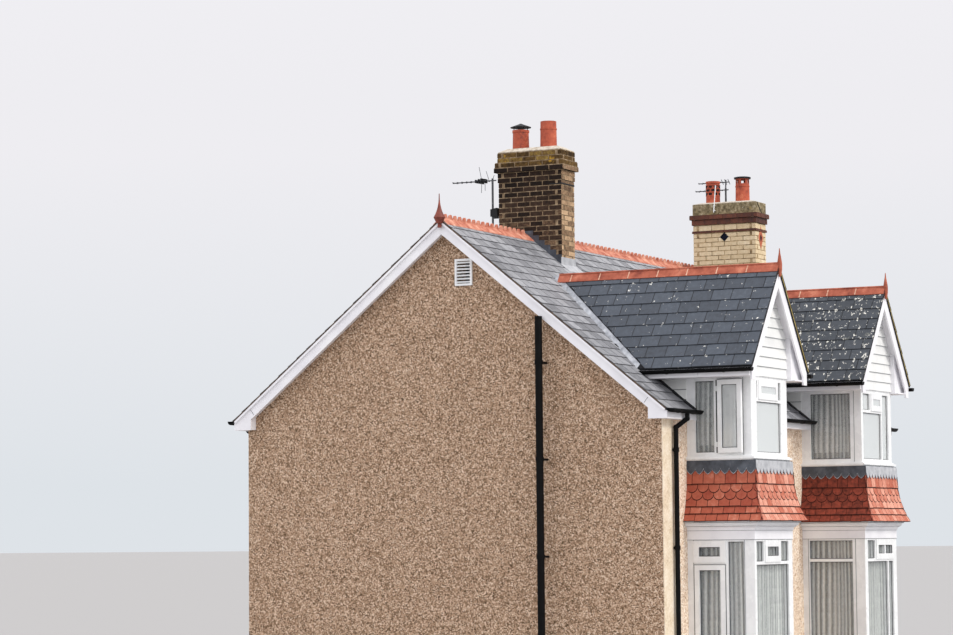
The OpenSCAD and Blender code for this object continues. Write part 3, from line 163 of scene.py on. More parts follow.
looks = {
    # Pebbledash: shingle thrown at wet render. Pebbles of 8-14 mm are drawn at 15-18 mm, to be seen.
    "pebbledashGable": dict(colours="#56422F #93775F #BC9C81 #E9D3BC", mottle=40, detail=8.0,
        grain=(15, 0.95), spots=[("#947962", 1100, 0.25, 0.3, 1.8)], relief=[(24, 3, "cells"), (9, 1.5)],
        specular=0.2),
    # The front walls' copy is painted lighter, as sunlit.
    "sunlitPebbledash": dict(colours="#A5805F #E0C6AC #F5E1CB #FFF6EA", mottle=40, detail=8.0, grain=(18, 0.9),
        spots=[("#C0A080", 900, 0.2, 0.3, 1.8)], relief=[(24, 3, "cells"), (9, 1.5)], specular=0.2),
    # Sand and cement render floated smooth and painted cream: flat, with faint trowel waves and dirt.
    "smoothRender": dict(colours="#C8B090 #E3D0B4 #EFE0CA #F7EDDD", mottle=240, grain=(21, 0.45),
        spots=[("#BFA88A", 420, 0.16, 0.25, 3.0)], rough=(0.7, 0.85), relief=[(45, 1.2)], specular=0.25),
    # Gypsum plaster trowelled and painted: flat and pale.
    "innerPlaster": dict(colours="#CFC8BA #DDD6C9", mottle=500, rough=(0.75, 0.9), relief=[(60, 0.6)],
        specular=0.2),
    # Concrete laid and tamped: grey and dusty.
    "floorConcrete": dict(colours="#77736B #928D84 #A5A097", mottle=180, rough=(0.8, 0.95),
        relief=[(30, 1.5)], specular=0.2),
    # Softwood floor boards, planed: warm brown with a weak shine.
    "floorBoards": dict(colours="#7A5A38 #96734A #AB885C", mottle=90, rough=(0.45, 0.6), relief=[(20, 0.4)]),
    # Natural slate split thin: a dull grey sheen, each slate its own shade, dusted with pale lichen.
    "mainSlate": dict(colours="#44454A #7C7D81 #97989C #B4B5B9", mottle=70, tone=0.6,
        spots=[("#5C5D61", 1400, 0.26, 0.25, 1), ("#C9C9CB", 130, 0.16, 0.12, 1)], rough=(0.48, 0.66),
        relief=[(16, 0.8)], specular=0.4),
    "gabletSlate": dict(colours="#25292F #3E444D #4A515B #616973", tone=0.6,
        spots=[("#2A2E34", 420, 0.2, 0.2, 1), ("#E4E3DC", 75, 0.15, 0.03, 1)], rough=(0.45, 0.62),
        relief=[(16, 0.8)], specular=0.4),
    "lichenSlate": dict(colours="#25282C #3C4147 #484D54 #5E646B", tone=0.6,
        spots=[("#77786F", 170, 0.2, 0.1, 1), ("#E8E6DC", 56, 0.29, 0.035, 1.4)], rough=(0.5, 0.7),
        relief=[(16, 0.8)], specular=0.35),
    # The felt below the slates, seen in the joints, and painted shade along the valleys' cut edges and beside
    # the cheeks: nearly black.
    "slateShade": dict(colours="#17181A #232427 #2F3033", rough=(0.8, 0.95), relief=[(16, 0.8)],
        specular=0.2),
    # Bedding mortar along the verges: brown, with ochre lichen, or overgrown by it.
    "vergeMortar": dict(colours="#41362E #5F5146 #7C6A5A", spots=[("#B28E58", 160, 0.22, 0.12, 1)],
        relief=[(18, 2)], specular=0.2),
    "lichenMortar": dict(colours="#7E7250 #A8955A #CDBB7C", mottle=50, rough=(0.9, 1.0), relief=[(18, 2)],
        specular=0.15),
    # Terracotta, pressed and fired unglazed: orange-red, darker where soot and algae hold.
    "crestTerracotta": dict(colours="#934A37 #B9705A #CB8B74 #DFAD96", mottle=130,
        spots=[("#8C5142", 80, 0.2, 0.15, 1), ("#EFC9B4", 70, 0.2, 0.15, 1)], rough=(0.7, 0.88),
        relief=[(14, 0.8)], specular=0.3),
    "ridgeTerracotta": dict(colours="#722F21 #9A4E38 #B0614A #C98066", mottle=200,
        spots=[("#5E3027", 120, 0.24, 0.2, 1)], rough=(0.6, 0.8), relief=[(14, 0.8)], specular=0.35),
    "finialTerracotta": dict(colours="#5E2A20 #7D3A2C #95493A", mottle=90, rough=(0.55, 0.75),
        relief=[(14, 0.5)]),
    # Lime mortar pointed between the ridge tiles: pale pink from their dust.
    "jointMortar": dict(colours="#B98A72 #D0A48C #E0BCA6", mottle=40, relief=[(12, 1.5)], specular=0.2),
    # Plain clay tiles, pressed and fired: matt red, each its own shade, and nearly black in the joints.
    "clayTile": dict(colours="#2C0E09 #9C4836 #B8664F #E2A48E", tone=0.75,
        spots=[("#6E3428", 120, 0.2, 0.12, 1)], rough=(0.72, 0.9), relief=[(9, 0.6)], specular=0.3),
    "tileShade": dict(colours="#1C0C08 #2E140E #3C1C14", relief=[(12, 0.6)], specular=0.15),
    # Softwood boards under white gloss: brush smooth, slightly blue, with painted grey shadow lines under the
    # laps, paler on the sunlit fronts than on the shaded cheeks.
    "whiteBoard": dict(colours="#EAE9ED #F2F1F5 #F9F9FB", mottle=380,
        spots=[("#B9BABE", 160, 0.10, 0.18, 2.5)], rough=(0.3, 0.42), relief=[(120, 0.5)]),
    "weatherBoard": dict(colours="#DEDFDE #EAEBE9 #F3F4F1", mottle=300, tone=0.35,
        spots=[("#C2C4C2", 150, 0.12, 0.15, 3)], rough=(0.32, 0.45), relief=[(120, 0.5)]),
    "frontLapShadowGrey": dict(colours="#AEB2B5 #BCC0C2", mottle=90, rough=(0.6, 0.75), relief=[(30, 0.2)]),
    # This darker grey also draws the cornices' painted shadow lines and the frames' seams.
    "shadowAndSeamGrey": dict(colours="#5E6164 #6C6F72", mottle=90, rough=(0.6, 0.75), relief=[(30, 0.2)]),
    # PVC profile, extruded: even, with a soft shine where it is white, and dulled by weather where black.
    "whiteProfile": dict(colours="#E8E9EA #F0F1F1 #F6F7F7", mottle=300,
        spots=[("#C8CBCC", 120, 0.08, 0.15, 2)], rough=(0.22, 0.32), relief=[(200, 0.3)]),
    "blackPlastic": dict(colours="#050506 #09090A #101112", mottle=140, rough=(0.5, 0.65), relief=[(90, 0.3)],
        specular=0.1),
    # Stock bricks, moulded and clamp fired: black with soot, ochre with lichen, and tan on the street side,
    # painted lighter there as sunlit.
    "brownBrick": dict(colours="#120E0C #251B16 #46352A #93775C #CBAB88", mottle=45, tone=0.75,
        spots=[("#171210", 260, 0.22, 0.2, 1)], rough=(0.82, 0.98), relief=[(12, 1.6)], specular=0.2),
    "lichenBrick": dict(colours="#231A13 #46351F #6B5330 #9C8448", mottle=50, tone=0.55,
        spots=[("#BE9436", 150, 0.24, 0.1, 1), ("#1E1712", 130, 0.26, 0.12, 1)], relief=[(12, 2)],
        specular=0.15),
    # Lime mortar, raked and sooty: buff, darker towards the top.
    "sootMortar": dict(colours="#5E4E3E #8D7960 #B6A083", spots=[("#3A3027", 360, 0.3, 0.2, 1)],
        rough=(0.9, 1.0), relief=[(12, 1.5)], specular=0.15),
    # Masonry paint brushed over brick: cream, worn through at the joints, and red and navy on the bands.
    "paintedBrick": dict(colours="#C4AC86 #D6C09B #E0CCA9 #ECDCBF", tone=0.4,
        spots=[("#A3875F", 110, 0.16, 0.12, 1)], rough=(0.7, 0.85), relief=[(14, 1.2)], specular=0.25),
    "paintedMortar": dict(colours="#5A4A38 #A58D6A #CDB793", mottle=110, relief=[(14, 1.5)], specular=0.2),
    "redPaint": dict(colours="#35180F #562A19 #764029", mottle=80, tone=0.4,
        spots=[("#A98764", 90, 0.16, 0.1, 1)], rough=(0.6, 0.75), relief=[(14, 1)]),
    "navyPaint": dict(colours="#05070F #0B0F1E #141A2E", mottle=40, rough=(0.6, 0.75), relief=[(14, 0.8)],
        specular=0.1),
    "terracottaPaint": dict(colours="#A04C34 #B9603F #C87450", mottle=50, rough=(0.6, 0.75),
        relief=[(14, 0.8)]),
    # Cement run over the caps and round the pots: cracked, and browned by lichen.
    "capCement": dict(colours="#4E4636 #75694F #94866A #B7AB92",
        spots=[("#8F7A3C", 120, 0.28, 0.12, 1), ("#CFC6B2", 50, 0.2, 0.08, 1)], relief=[(25, 3), (8, 1)],
        specular=0.2),
    "bedCement": dict(colours="#A79C8B #C6BDAE #DAD3C6", spots=[("#8C7F62", 80, 0.2, 0.12, 1)],
        relief=[(20, 3)], specular=0.2),
    # Fireclay pots, thrown and salt dulled: orange-red, browned by smoke, and black inside the louvres, with
    # soot and painted shade.
    "potClay": dict(colours="#7E3524 #A6492F #B8573B #CB7353", mottle=110,
        spots=[("#56281E", 150, 0.24, 0.18, 1.5)], rough=(0.6, 0.8), relief=[(14, 0.6)]),
    "sootAndShadeBlack": dict(colours="#0D0D0E #18181A #232325", rough=(0.8, 0.95), relief=[(12, 0.6)], specular=0.2),
    # Sheet steel, painted black and dulled outdoors.
    "cowlMetal": dict(colours="#0E0F10 #17181A #232427", mottle=90, rough=(0.5, 0.7), relief=[(60, 0.4)],
        specular=0.3),
    # Aluminium tube, drawn and gone dull: mid grey with a weak shine.
    "aerialMetal": dict(colours="#3A3C3F #505256 #66696D", rough=(0.45, 0.6), relief=[(30, 0.2)],
        metallic=0.5),
    # Milled lead sheet: dark blue-grey patina, and white bloom where rain runs; faces towards the street take
    # a lighter copy, painted as sunlit.
    "lead": dict(colours="#33373E #464B54 #5E646D", mottle=120,
        spots=[("#80868E", 110, 0.24, 0.2, 2), ("#24272C", 260, 0.2, 0.2, 1)], rough=(0.45, 0.65),
        relief=[(60, 1.2)], metallic=0.1),
    "valleyLead": dict(colours="#84888F #A9ADB4 #C9CCD1", mottle=90, spots=[("#E2E4E7", 160, 0.2, 0.15, 1)],
        rough=(0.4, 0.55), relief=[(60, 1.2)], metallic=0.1),
    "sunlitLead": dict(colours="#9A9CA1 #B4B6BA #CACBCE", mottle=120, spots=[("#7C8088", 130, 0.2, 0.2, 1)],
        rough=(0.38, 0.55), relief=[(60, 1.2)], metallic=0.1),
    # Gloss paint brushed on joinery: even blue-grey with a soft shine.
    "doorPaint": dict(colours="#4D5B66 #5A6974 #64737E", mottle=280, rough=(0.25, 0.35), relief=[(150, 0.4)]),
    # Brass, cast and polished: a warm, sharp shine.
    "castBrass": dict(colours="#A88A45 #C2A45B", rough=(0.2, 0.32), relief=[(40, 0.1)], metallic=1.0),
    # Rubber, extruded: dull and nearly black, as a thin line round each pane; also the open casement's
    # painted shadow lines and dark room.
    "gasketAndShadeBlack": dict(colours="#26282A #34363A", rough=(0.6, 0.75), relief=[(20, 0.1)]),
}
made = {name: weathered(name, look) for name, look in looks.items()}


def glassMaterial(name, veil, cover):      # float glass, drawn flat: clear, with a pale veil that paints in the sky it mirrors
    material, tree, shader, where = newMaterial(name, {
        "Base Color": toLinear(veil), "Roughness": 0.03, "IOR": 1.52, "Alpha": cover,
        "Specular IOR Level": 0.8, "Coat Weight": 1.0, "Coat Roughness": 0.03})
    height = addNode(tree, "TexNoise", {"Scale": 1 / (600 * mm), "Detail": 1.0},
                     {"Vector": where}).outputs[0]
    bump = addNode(tree, "Bump", {"Distance": 2 * mm, "Strength": 0.3}, {"Height": height}).outputs[0]
    tree.links.new(bump, shader.inputs["Normal"])
    return material


def netMaterial(name, thin, dense, dark, light):
    # Polyester net, warp knitted: threads 2 mm apart, too fine to draw, so folds differ in cover and are
    # painted lighter and darker, as light falls on them.
    material, tree, shader, where = newMaterial(name, {"Roughness": 0.9, "Specular IOR Level": 0.1})
    fold = addNode(tree, "Attribute", {"attribute_name": "tone"}).outputs["Fac"]
    lace = addNode(tree, "TexNoise", {"Scale": 1 / (45 * mm), "Detail": 3.0},
                   {"Vector": where}).outputs[0]
    value = addNode(tree, "Mix", {"data_type": "FLOAT", "Factor": 0.25},
                    {2: fold, 3: lace}).outputs[0]
    stops = list(zip(foldEnds, (toLinear(dark), toLinear(light))))
    colour = addNode(tree, "ValToRGB", {"stops": stops}, {"Fac": value}).outputs[0]
    cover = addNode(tree, "MapRange", {"To Min": thin, "To Max": dense}, {"Value": value}).outputs[0]
    tree.links.new(colour, shader.inputs["Base Color"])
    tree.links.new(cover, shader.inputs["Alpha"])
    return material


glasses = {      # the veil's colour and cover: plain glass with dust and a faint painted sky reflection, glass with a strong painted reflection of the bright sky, and glass turned from it with less
    "floatGlass": ("#D3DADC", 0.16), "paintedSkyGlass": ("#F2F6F6", 0.62), "tiltedGlass": ("#F2F6F6", 0.38)}
cloths = {      # cover where thin and where dense, and the painted dark and light shades of the folds
    "sheerNet": (0.62, 1.0, "#3E4340", "#FCFCF7"), "paleNet": (0.85, 1.0, "#7E8481", "#F6F8F3"),
    "curtainCloth": (1.0, 1.0, "#565B5A", "#DDDFDA"), "denseNet": (0.90, 1.0, "#DDE0E0", "#F6F7F7")}
made.update({name: glassMaterial(name, *values) for name, values in glasses.items()})
made.update({name: netMaterial(name, *values) for name, values in cloths.items()})
print("materials:", len(made))


# Meshes

def oblong(a, b, c, d):      # the corners of a rectangle from (a, b) to (c, d)
    return [(a, b), (c, b), (c, d), (a, d)]


def grown(rectangle, by):      # four limits, moved out on every side
    a, b, c, d = rectangle
    return a - by, b - by, c + by, d + by


def inMetres(rectangle):
    return [v * mm for v in rectangle]


class Pile:      # many small solids gathered into one mesh, each with its own tone
    def __init__(self):
        self.points, self.faces, self.tones = [], [], []

    def slab(self, low, high, tone=0.5, street=0.0, rim=None):      # a solid between two rings of points
        start, n = len(self.points), len(low)
        self.points += [*low, *high]
        faces = [tuple(range(start, start + n)), tuple(range(start + n, start + 2 * n))]
        faces += [(start + k, start + (k + 1) % n, start + n + (k + 1) % n, start + n + k) for k in range(n)]
        self.faces += faces
        side = tone if rim is None else rim      # the tone of the edges between the rings
        self.tones += [tone, tone, side + street] + [side] * (n - 1)

    def box(self, low, high, tone=0.5, street=0.0):      # street is added to the tone of the face towards -Y, as painted sunlight
        ring = oblong(*low[:2], *high[:2])
        self.slab([(x, y, low[2]) for x, y in ring], [(x, y, high[2]) for x, y in ring], tone, street)

    def plate(self, put, shape, low, high, tone=0.5):      # an outline from put(u, v, low) to put(u, v, high)
        self.slab([put(u, v, low) for u, v in shape], [put(u, v, high) for u, v in shape], tone)

    def border(self, put, outer, inner, low, high):      # a flat frame between two rectangles given in mm
        outer, inner = oblong(*inMetres(outer)), oblong(*inMetres(inner))
        for k, n in ((0, 1), (1, 2), (2, 3), (3, 0)):
            self.plate(put, (outer[k], outer[n], inner[n], inner[k]), low, high)

    def rim(self, put, rectangle, outer, inner, low, high):      # a frame from a rectangle, grown twice
        self.border(put, grown(rectangle, outer), grown(rectangle, inner), low, high)

    def pane(self, put, rectangle, grow, low, high):      # a plate as large as a rectangle in mm, grown
        self.plate(put, oblong(*inMetres(grown(rectangle, grow))), low, high)

    def tube(self, outline, centre, count=32):      # an outline of (radius, height) turned round Z
        start, n = len(self.points), len(outline)
        x, y, z = centre
        for k in range(count):
            turn = tau * k / count
            self.points += [(x + r * math.cos(turn), y + r * math.sin(turn), z + h) for r, h in outline]
            a, b = start + k * n, start + (k + 1) % count * n
            self.faces += [(a + j, a + (j + 1) % n, b + (j + 1) % n, b + j) for j in range(n)]
            self.tones += [0.5] * n

    def rod(self, start, end, r, sides=8):      # a round bar between two points
        a, b = Vector(start), Vector(end)
        turn = (b - a).to_track_quat("Z", "Y")
        ring = [turn @ Vector((r * math.cos(tau * k / sides), r * math.sin(tau * k / sides), 0))
                for k in range(sides)]
        self.slab([a + v for v in ring], [b + v for v in ring])


def makePiece(name, pile, material, smooth=False):
    mesh = bpy.data.meshes.new(name)
    mesh.from_pydata(pile.points, [], pile.faces)
    mesh.attributes.new("tone", "FLOAT", "FACE").data.foreach_set("value", pile.tones)
    work = bmesh.new()
    work.from_mesh(mesh)
    bmesh.ops.recalc_face_normals(work, faces=work.faces)
    work.to_mesh(mesh)
    work.free()
    if smooth:
        mesh.shade_smooth()
    piece = bpy.data.objects.new(name, mesh)
    bpy.context.scene.collection.objects.link(piece)
    mesh.materials.append(made[material])
    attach(piece, "root")
    return piece


def cut(shape, a, b, c):      # the part of a flat outline where a * u + b * v + c is not negative
    kept = []
    for p, q in zip(shape, shape[1:] + shape[:1]):
        dp, dq = a * p[0] + b * p[1] + c, a * q[0] + b * q[1] + c
        if dp >= 0:
            kept.append(p)
        if (dp > 0 > dq) or (dq > 0 > dp):
            t = dp / (dp - dq)
            kept.append((p[0] + (q[0] - p[0]) * t, p[1] + (q[1] - p[1]) * t))
    return kept


def outlineArea(shape):
    return abs(sum(p[0] * q[1] - q[0] * p[1] for p, q in zip(shape, shape[1:] + shape[:1]))) / 2


lapping = {
    "lap": 0.012, "seen": 0.75,      # how far a head runs under the next course, and more between round tails
    "roundness": 0.68, "steps": 8,      # how much of the gauge a round tail may take, and its straight pieces
    "headThick": 0.0015, "shadowThick": 0.0006, "least": 2e-4,      # thinnest ends, smallest piece kept
    "shadow": -0.4,      # tone of the dark copies, which paint the tails' shadow
}


def layCourses(pile, place, rows, ends, cover, keep=None, shade=None):
    # Lapped slates or tiles. place(u, v, h) gives the point; rows are the tails' lines, ends(v) a course's
    # limits, keep(outline) the parts to lay and shade(u, v) what a place adds to the tone.
    wide, gap = cover["wide"], cover["gap"]
    for row, (low, high) in enumerate(zip(rows, rows[1:])):
        (left, right), (l1, r1) = ends(low), ends(high)
        lean, back = (l1 - left) / (high - low), (r1 - right) / (high - low)
        rounded = cover.get("round", [])[row:row + 2] or [False]      # this course's tails and the next one's
        top = high + lapping["lap"]
        if len(rounded) > 1 and rounded[1]:      # seen between the round tails of the course above
            top += lapping["seen"] * (rows[row + 2] - high)
        u = left - wide * (0.5 if row % 2 else 0.0)
        while u < right:
            a, b = u + gap / 2, u + wide - gap / 2
            tail = low + dice.uniform(-1, 1) * cover["uneven"]
            shape = [(a, tail), (b, tail), (b, top), (a, top)]
            if rounded[0]:
                r, deep = (b - a) / 2, min((b - a) / 2, lapping["roundness"] * (high - low))
                turns = [math.pi * k / lapping["steps"] for k in range(lapping["steps"] + 1)]
                curve = [((a + b) / 2 - r * math.cos(t), tail + deep * (1 - math.sin(t))) for t in turns]
                shape = curve + shape[2:]
            for shape in (keep(shape) if keep else [shape]):
                shape = cut(shape, 1, -lean, lean * low - left)
                shape = cut(shape, -1, back, right - back * low)
                if len(shape) < 3 or outlineArea(shape) < lapping["least"]:
                    continue
                raised = cover["lift"] + dice.uniform(0, 1) * cover["uneven"] * 0.5
                thin = lapping["headThick"] - raised
                upper = [place(*p, raised + thin * max(0.0, min(1.0, (p[1] - low) / (top - low))))
                         for p in shape]
                tone = 0.5 + (dice.random() - 0.5) * cover["vary"]
                middle = [sum(p[k] for p in shape) / len(shape) for k in (0, 1)]
                # Edges take the darkest tone, as painted shade.
                pile.slab([place(*p, 0.0) for p in shape], upper,
                          max(0.0, tone + (shade(*middle) if shade else 0.0)), rim=0.0)
                # A dark copy, lower and a little larger, draws the open joints and a painted shadow under the
                # tails.
                wider = 1 + gap / wide
                loose = [(middle[0] + (p[0] - middle[0]) * wider, p[1] - cover["shadowDrop"]) for p in shape]
                sunk = [raised * (1 - max(0.0, p[1] - low) / (top - low)) - cover["sunk"] for p in loose]
                pile.slab([place(*p, 0.0) for p in loose],
                          [place(*p, max(lapping["shadowThick"], h)) for p, h in zip(loose, sunk)],
                          lapping["shadow"])
            u += wide


# Roofs: slates in half bond, from the eaves up

# Open joints of 3 mm between slates are drawn at 14-16 mm, to show in the render.
# shadowDrop is how far each dark copy hangs below its tail, as painted shadow.
mainCover = {"wide": 0.252, "gauge": 0.205, "lift": 0.011, "gap": 0.016, "uneven": 0.004, "vary": 0.75,
             "shadowDrop": 0.003, "sunk": 0.002}
gabletCover = {"wide": 0.300, "gauge": 0.196, "lift": 0.011, "gap": 0.014, "uneven": 0.004, "vary": 0.5,
               "shadowDrop": 0.006, "sunk": 0.002}
laid = {
    "first": -0.012, "mainTop": 0.01, "gabletTop": 0.004,      # where courses start, and how short they stop
    "verge": 0.004, "gabletVerge": 0.006,      # how far they pass the solids' sides
}
valleyStep = math.hypot(1, valleyRun)
valleyLead = 0.064 * valleyStep      # how far up the street a gablet's slates keep clear of their valley
clearance = {"valley": 0.012, "beyond": 0.2}      # from main slates to valleys, and where no gablet matters
slateDarkening = {"tone": -0.3, "near": 0.42, "high": 0.9, "eaves": 0.18}      # painted shade on slates beside the bays, and darker slates towards the eaves


def mainPoint(side):      # side is -1 for the front slope and 1 for the back
    def place(u, v, h):
        out = eavesY - v * math.cos(mainPitch) + h * math.sin(mainPitch)
        return (u, side * out, eavesZ + v * math.sin(mainPitch) + h * math.cos(mainPitch))
    return place


def gabletPoint(i, side):
    def place(u, v, h):
        out = gabletHalf - v * math.cos(gabletPitch) + h * math.sin(gabletPitch)
        up = v * math.sin(gabletPitch) + h * math.cos(gabletPitch)
        return (gabletX[i] + side * out, u, gabletEaves + up)
    return place


def clearOfGablets(shape):      # the parts of a main slate outside the gablets
    pieces = [shape]
    for i in (0, 1):
        after = []
        for shape in pieces:
            out = [eavesY - p[1] * math.cos(mainPitch) for p in shape]
            reach = [abs(p[0] - gabletX[i]) for p in shape]
            free = [valleyStart + valleyRun * r - o - clearance["valley"] for r, o in zip(reach, out)]
            if min(free) > 0 or min(reach) > gabletHalf + clearance["beyond"]:
                after.append(shape)
                continue
            for side in (-1, 1):
                half = cut(shape, side, 0, -side * gabletX[i])
                if sum(out) / len(out) < valleyStart + valleyRun * gabletHalf:
                    half = cut(half, valleyRun * side, math.cos(mainPitch),
                               valleyStart - valleyRun * side * gabletX[i] - eavesY - clearance["valley"])
                else:
                    half = cut(half, side, 0, -side * (bayLeft[i] + (bayWide if side > 0 else 0.0)))
                if len(half) > 2:
                    after.append(half)
        pieces = after
    return pieces


def clearOfValley(shape):      # the part of a gablet's slate above its valley
    limit = valleyStart + valleyRun * gabletHalf + valleyLead
    return [cut(shape, -1, valleyRun * math.cos(gabletPitch), -limit)]


def courseLines(start, end, gauge):
    count = round((end - start) / gauge)
    return [start + (end - start) * k / count for k in range(count + 1)]


def besideCheeks(u, v):      # painted shade on the slates beside the bays; slates are also darker towards the eaves
    near = min(abs(u - edge) for left in bayLeft for edge in (left, left + bayWide))
    beside = slateDarkening["tone"] if v < slateDarkening["high"] and near < slateDarkening["near"] else 0.0
    return beside - max(0.0, slateDarkening["eaves"] * (1 - v))


mainRows = courseLines(laid["first"], mainLong - laid["mainTop"], mainCover["gauge"])
for side, name, *rules in ((-1, "main_slates_front", clearOfGablets, besideCheeks), (1, "main_slates_back")):
    slates = Pile()
    layCourses(slates, mainPoint(side), mainRows, lambda v: (-vergeX - laid["verge"], vergeX + laid["verge"]),
               mainCover, *rules)
    makePiece(name, slates, "mainSlate")
print("main slates laid:", len(mainRows) - 1, "courses")

gabletRows = courseLines(laid["first"], gabletLong - laid["gabletTop"], gabletCover["gauge"])
for i, material in enumerate(("gabletSlate", "lichenSlate")):
    slates = Pile()
    for side in (-1, 1):
        layCourses(slates, gabletPoint(i, side), gabletRows,
                   lambda v: (gabletFront - laid["gabletVerge"], -valleyStart), gabletCover, clearOfValley)
    makePiece(f"gablet_slates_{sides[i]}", slates, material)
print("gablet slates laid")

valley = {
    "sheet": (0.0, 0.15, -0.003, 0.0012),      # plan distances from the valley, then underside and top
    "edgeShadow": (0.057, 0.068, -0.003, 0.0115),      # a near-black strip along the slates' cut edges on it: their painted shadow
    "saddle": {"wide": 0.11, "back": 0.01, "front": 1.10, "thick": 0.014},
}
verge = {      # strips along the slopes: start beside the verge, end, underside and top above the slope
    "mortar": (0.0, 0.023, -0.020, 0.003), "fillet": (-0.004, 0.027, -0.048, -0.020),
    "gablet": (-0.004, 0.020, -0.018, 0.006),
    "west": 0.003, "east": 0.020,      # where the main strips start, west of the two verges
}
ridgeTile = {
    "long": 0.457, "thick": 0.020, "leg": 0.130, "joint": 0.016,
    "last": -1.06, "wider": 1.03, "higher": 0.004,      # the joints' end in Y, and how they pass the tiles
    "seat": 0.6, "out": 0.7,      # parts of the thickness: up to the joints' underside, and out at their feet
}


def valleySheets():      # lead up the gablets' side of each valley, and over the backs of their ridges
    piles, saddles, saddle = (Pile(), Pile()), Pile(), valley["saddle"]

    def beside(d, away):      # away is the plan distance from the valley line, up the gablet
        return d - away * valleyRun / valleyStep, valleyStart + valleyRun * d + away / valleyStep

    for i in (0, 1):
        for side in (-1, 1):
            def lift(x, y, h):      # a point on the gablet's slope, x out from its ridge
                return (gabletX[i] + side * x, -y, gabletTop - x * gabletTan + h)

            for pile, (near, far, low, high) in zip(piles, (valley["sheet"], valley["edgeShadow"])):
                strip = [beside(near * valleyRun / valleyStep, near), beside(gabletHalf, near),
                         beside(gabletHalf, far), beside(far * valleyRun / valleyStep, far)]
                pile.plate(lift, strip, low, high)
            wide, front, back = saddle["wide"], saddle["front"], valleyStart - saddle["back"]
            saddles.plate(lift, [(0, back), (wide, back + wide * valleyRun), (wide, front), (0, front)],
                          0.0, saddle["thick"])
    makePiece("valley_leads", piles[0], "valleyLead")
    makePiece("valley_edge_shadows", piles[1], "slateShade")
    makePiece("ridge_saddles", saddles, "valleyLead")


def vergeBeds():      # white fillets along the verges, and the mortar between them and the slates
    mortar, fillet, gablet = Pile(), Pile(), Pile()
    for x in (-vergeX - verge["west"], vergeX - verge["east"]):
        for side in (-1, 1):
            for pile, key in ((mortar, "mortar"), (fillet, "fillet")):
                a, b, low, high = verge[key]
                pile.plate(mainPoint(side), oblong(x + a, 0.0, x + b, mainLong), low, high)
    a, b, low, high = verge["gablet"]
    for i in (0, 1):      # only the gablets' right slopes show theirs
        gablet.plate(gabletPoint(i, 1), oblong(gabletFront + a, 0.0, gabletFront + b, gabletLong), low, high)
    makePiece("verge_mortar", mortar, "vergeMortar")
    makePiece("verge_fillets", fillet, "whiteBoard")
    makePiece("gablet_verge_mortar", gablet, "lichenMortar")


def ridgeJoints():      # mortar between the gablets' ridge tiles
    joints, thick, seat = Pile(), ridgeTile["thick"], ridgeTile["seat"]
    leg = ridgeTile["leg"] * math.cos(gabletPitch) + ridgeTile["out"] * thick
    drop = ridgeTile["leg"] * math.sin(gabletPitch) - seat * thick
    for i in (0, 1):
        y = gabletFront + ridgeTile["long"]
        while y < ridgeTile["last"]:
            for side in (-1, 1):
                shape = [(0.0, seat * thick), (0.0, (1 + seat) * thick), (side * leg, -drop),
                         (side * (leg - ridgeTile["joint"]), -drop)]
                joints.plate(lambda x, z, h: (gabletX[i] + x * ridgeTile["wider"], y + h,
                                              gabletTop + z + ridgeTile["higher"]),
                             shape, 0.0, ridgeTile["joint"])
            y += ridgeTile["long"]
    makePiece("ridge_joints", joints, "jointMortar")


valleySheets()
vergeBeds()
ridgeJoints()


# Bays: tile skirts, lead aprons and weatherboards

skirtLow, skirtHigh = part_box("tile_skirt_left")
skirt = {
    "flare": 0.15, "curve": 2.2, "front": 0.060, "side": 0.018,      # as the solids under the tiles
    "lines": [2.868, 2.970, 3.070, 3.162, 3.264, 3.382, 3.552],      # the courses' tails, from the bottom
    "cover": {"wide": 0.165, "lift": 0.018, "gap": 0.008, "uneven": 0.003, "vary": 0.42, "shadowDrop": 0.012,
              "sunk": 0.004, "round": [False, False, False, True, True, False]},
    "shade": [(0.42, 0.04, 0.0), (0.42, -0.40, 0.0)],      # painted light and shade added to the front's, west's and east's tones: lighter on the sunlit fronts
    "shadedVary": 0.14,      # the right skirt's west face is painted dark and even, as in the left bay's shade
}
scallop = {
    "pitch": 0.124, "top": 3.700, "notch": 3.590, "dip": 0.078, "proud": 0.008, "splay": 0.07,
    "curve": [(0.0, 0.0), (0.1, 0.42), (0.3, 0.78), (0.5, 1.0), (0.7, 0.78), (0.9, 0.42), (1.0, 0.0)],
    "rim": {"high": 0.006, "under": 0.004, "proud": 0.002},      # a bright strip along the lead's cut edge: a painted highlight
}
boards = {
    "pitch": 0.1415, "thick": 0.020, "thin": 0.003, "soffit": 0.163,
    "foot": 0.01,      # corners this near a board's lower edge lie on it
    "front": {"first": 4.875, "count": 9, "lapDeep": 0.012, "lapHigh": 0.007},
    "cheek": {"first": 4.4255, "count": 3, "lapDeep": 0.014, "lapHigh": 0.008, "top": 4.850, "back": -2.6},
}
# lead strips beside the cheeks, drawn near black as painted shade
soaker = {"wide": 0.13, "short": 0.28, "limits": (0.004, 0.017)}
sillNose = (0.052, 0.072, 3.722, 3.750)      # how far out, how thick, underside and top
mouldings = [(0.1008, 0.03, 2.838, 2.844), (0.0480, 0.03, 2.786, 2.792),      # their shadow lines, likewise
             (0.009, 0.03, 2.727, 2.7325), (0.009, 0.03, 2.600, 2.605)]


def boxFaces(left, wide, front):      # put(u, z, out) for a bay's faces; u runs from its left or the wall
    return {"front": lambda u, z, out: (left + u, front - out, z),
            "west": lambda u, z, out: (left - out, wallY - u, z),
            "east": lambda u, z, out: (left + wide + out, wallY - u, z)}


bayBoxes = {"low": [(low[0], groundWide, groundY) for low, high in groundBox],      # left, width and front
            "high": [(left, bayWide, bayY) for left in bayLeft]}


def skirtBox(i):      # a skirt's left side, width and front, before its flare
    return bayLeft[i] - skirt["side"], bayWide + 2 * skirt["side"], bayY - skirt["front"]


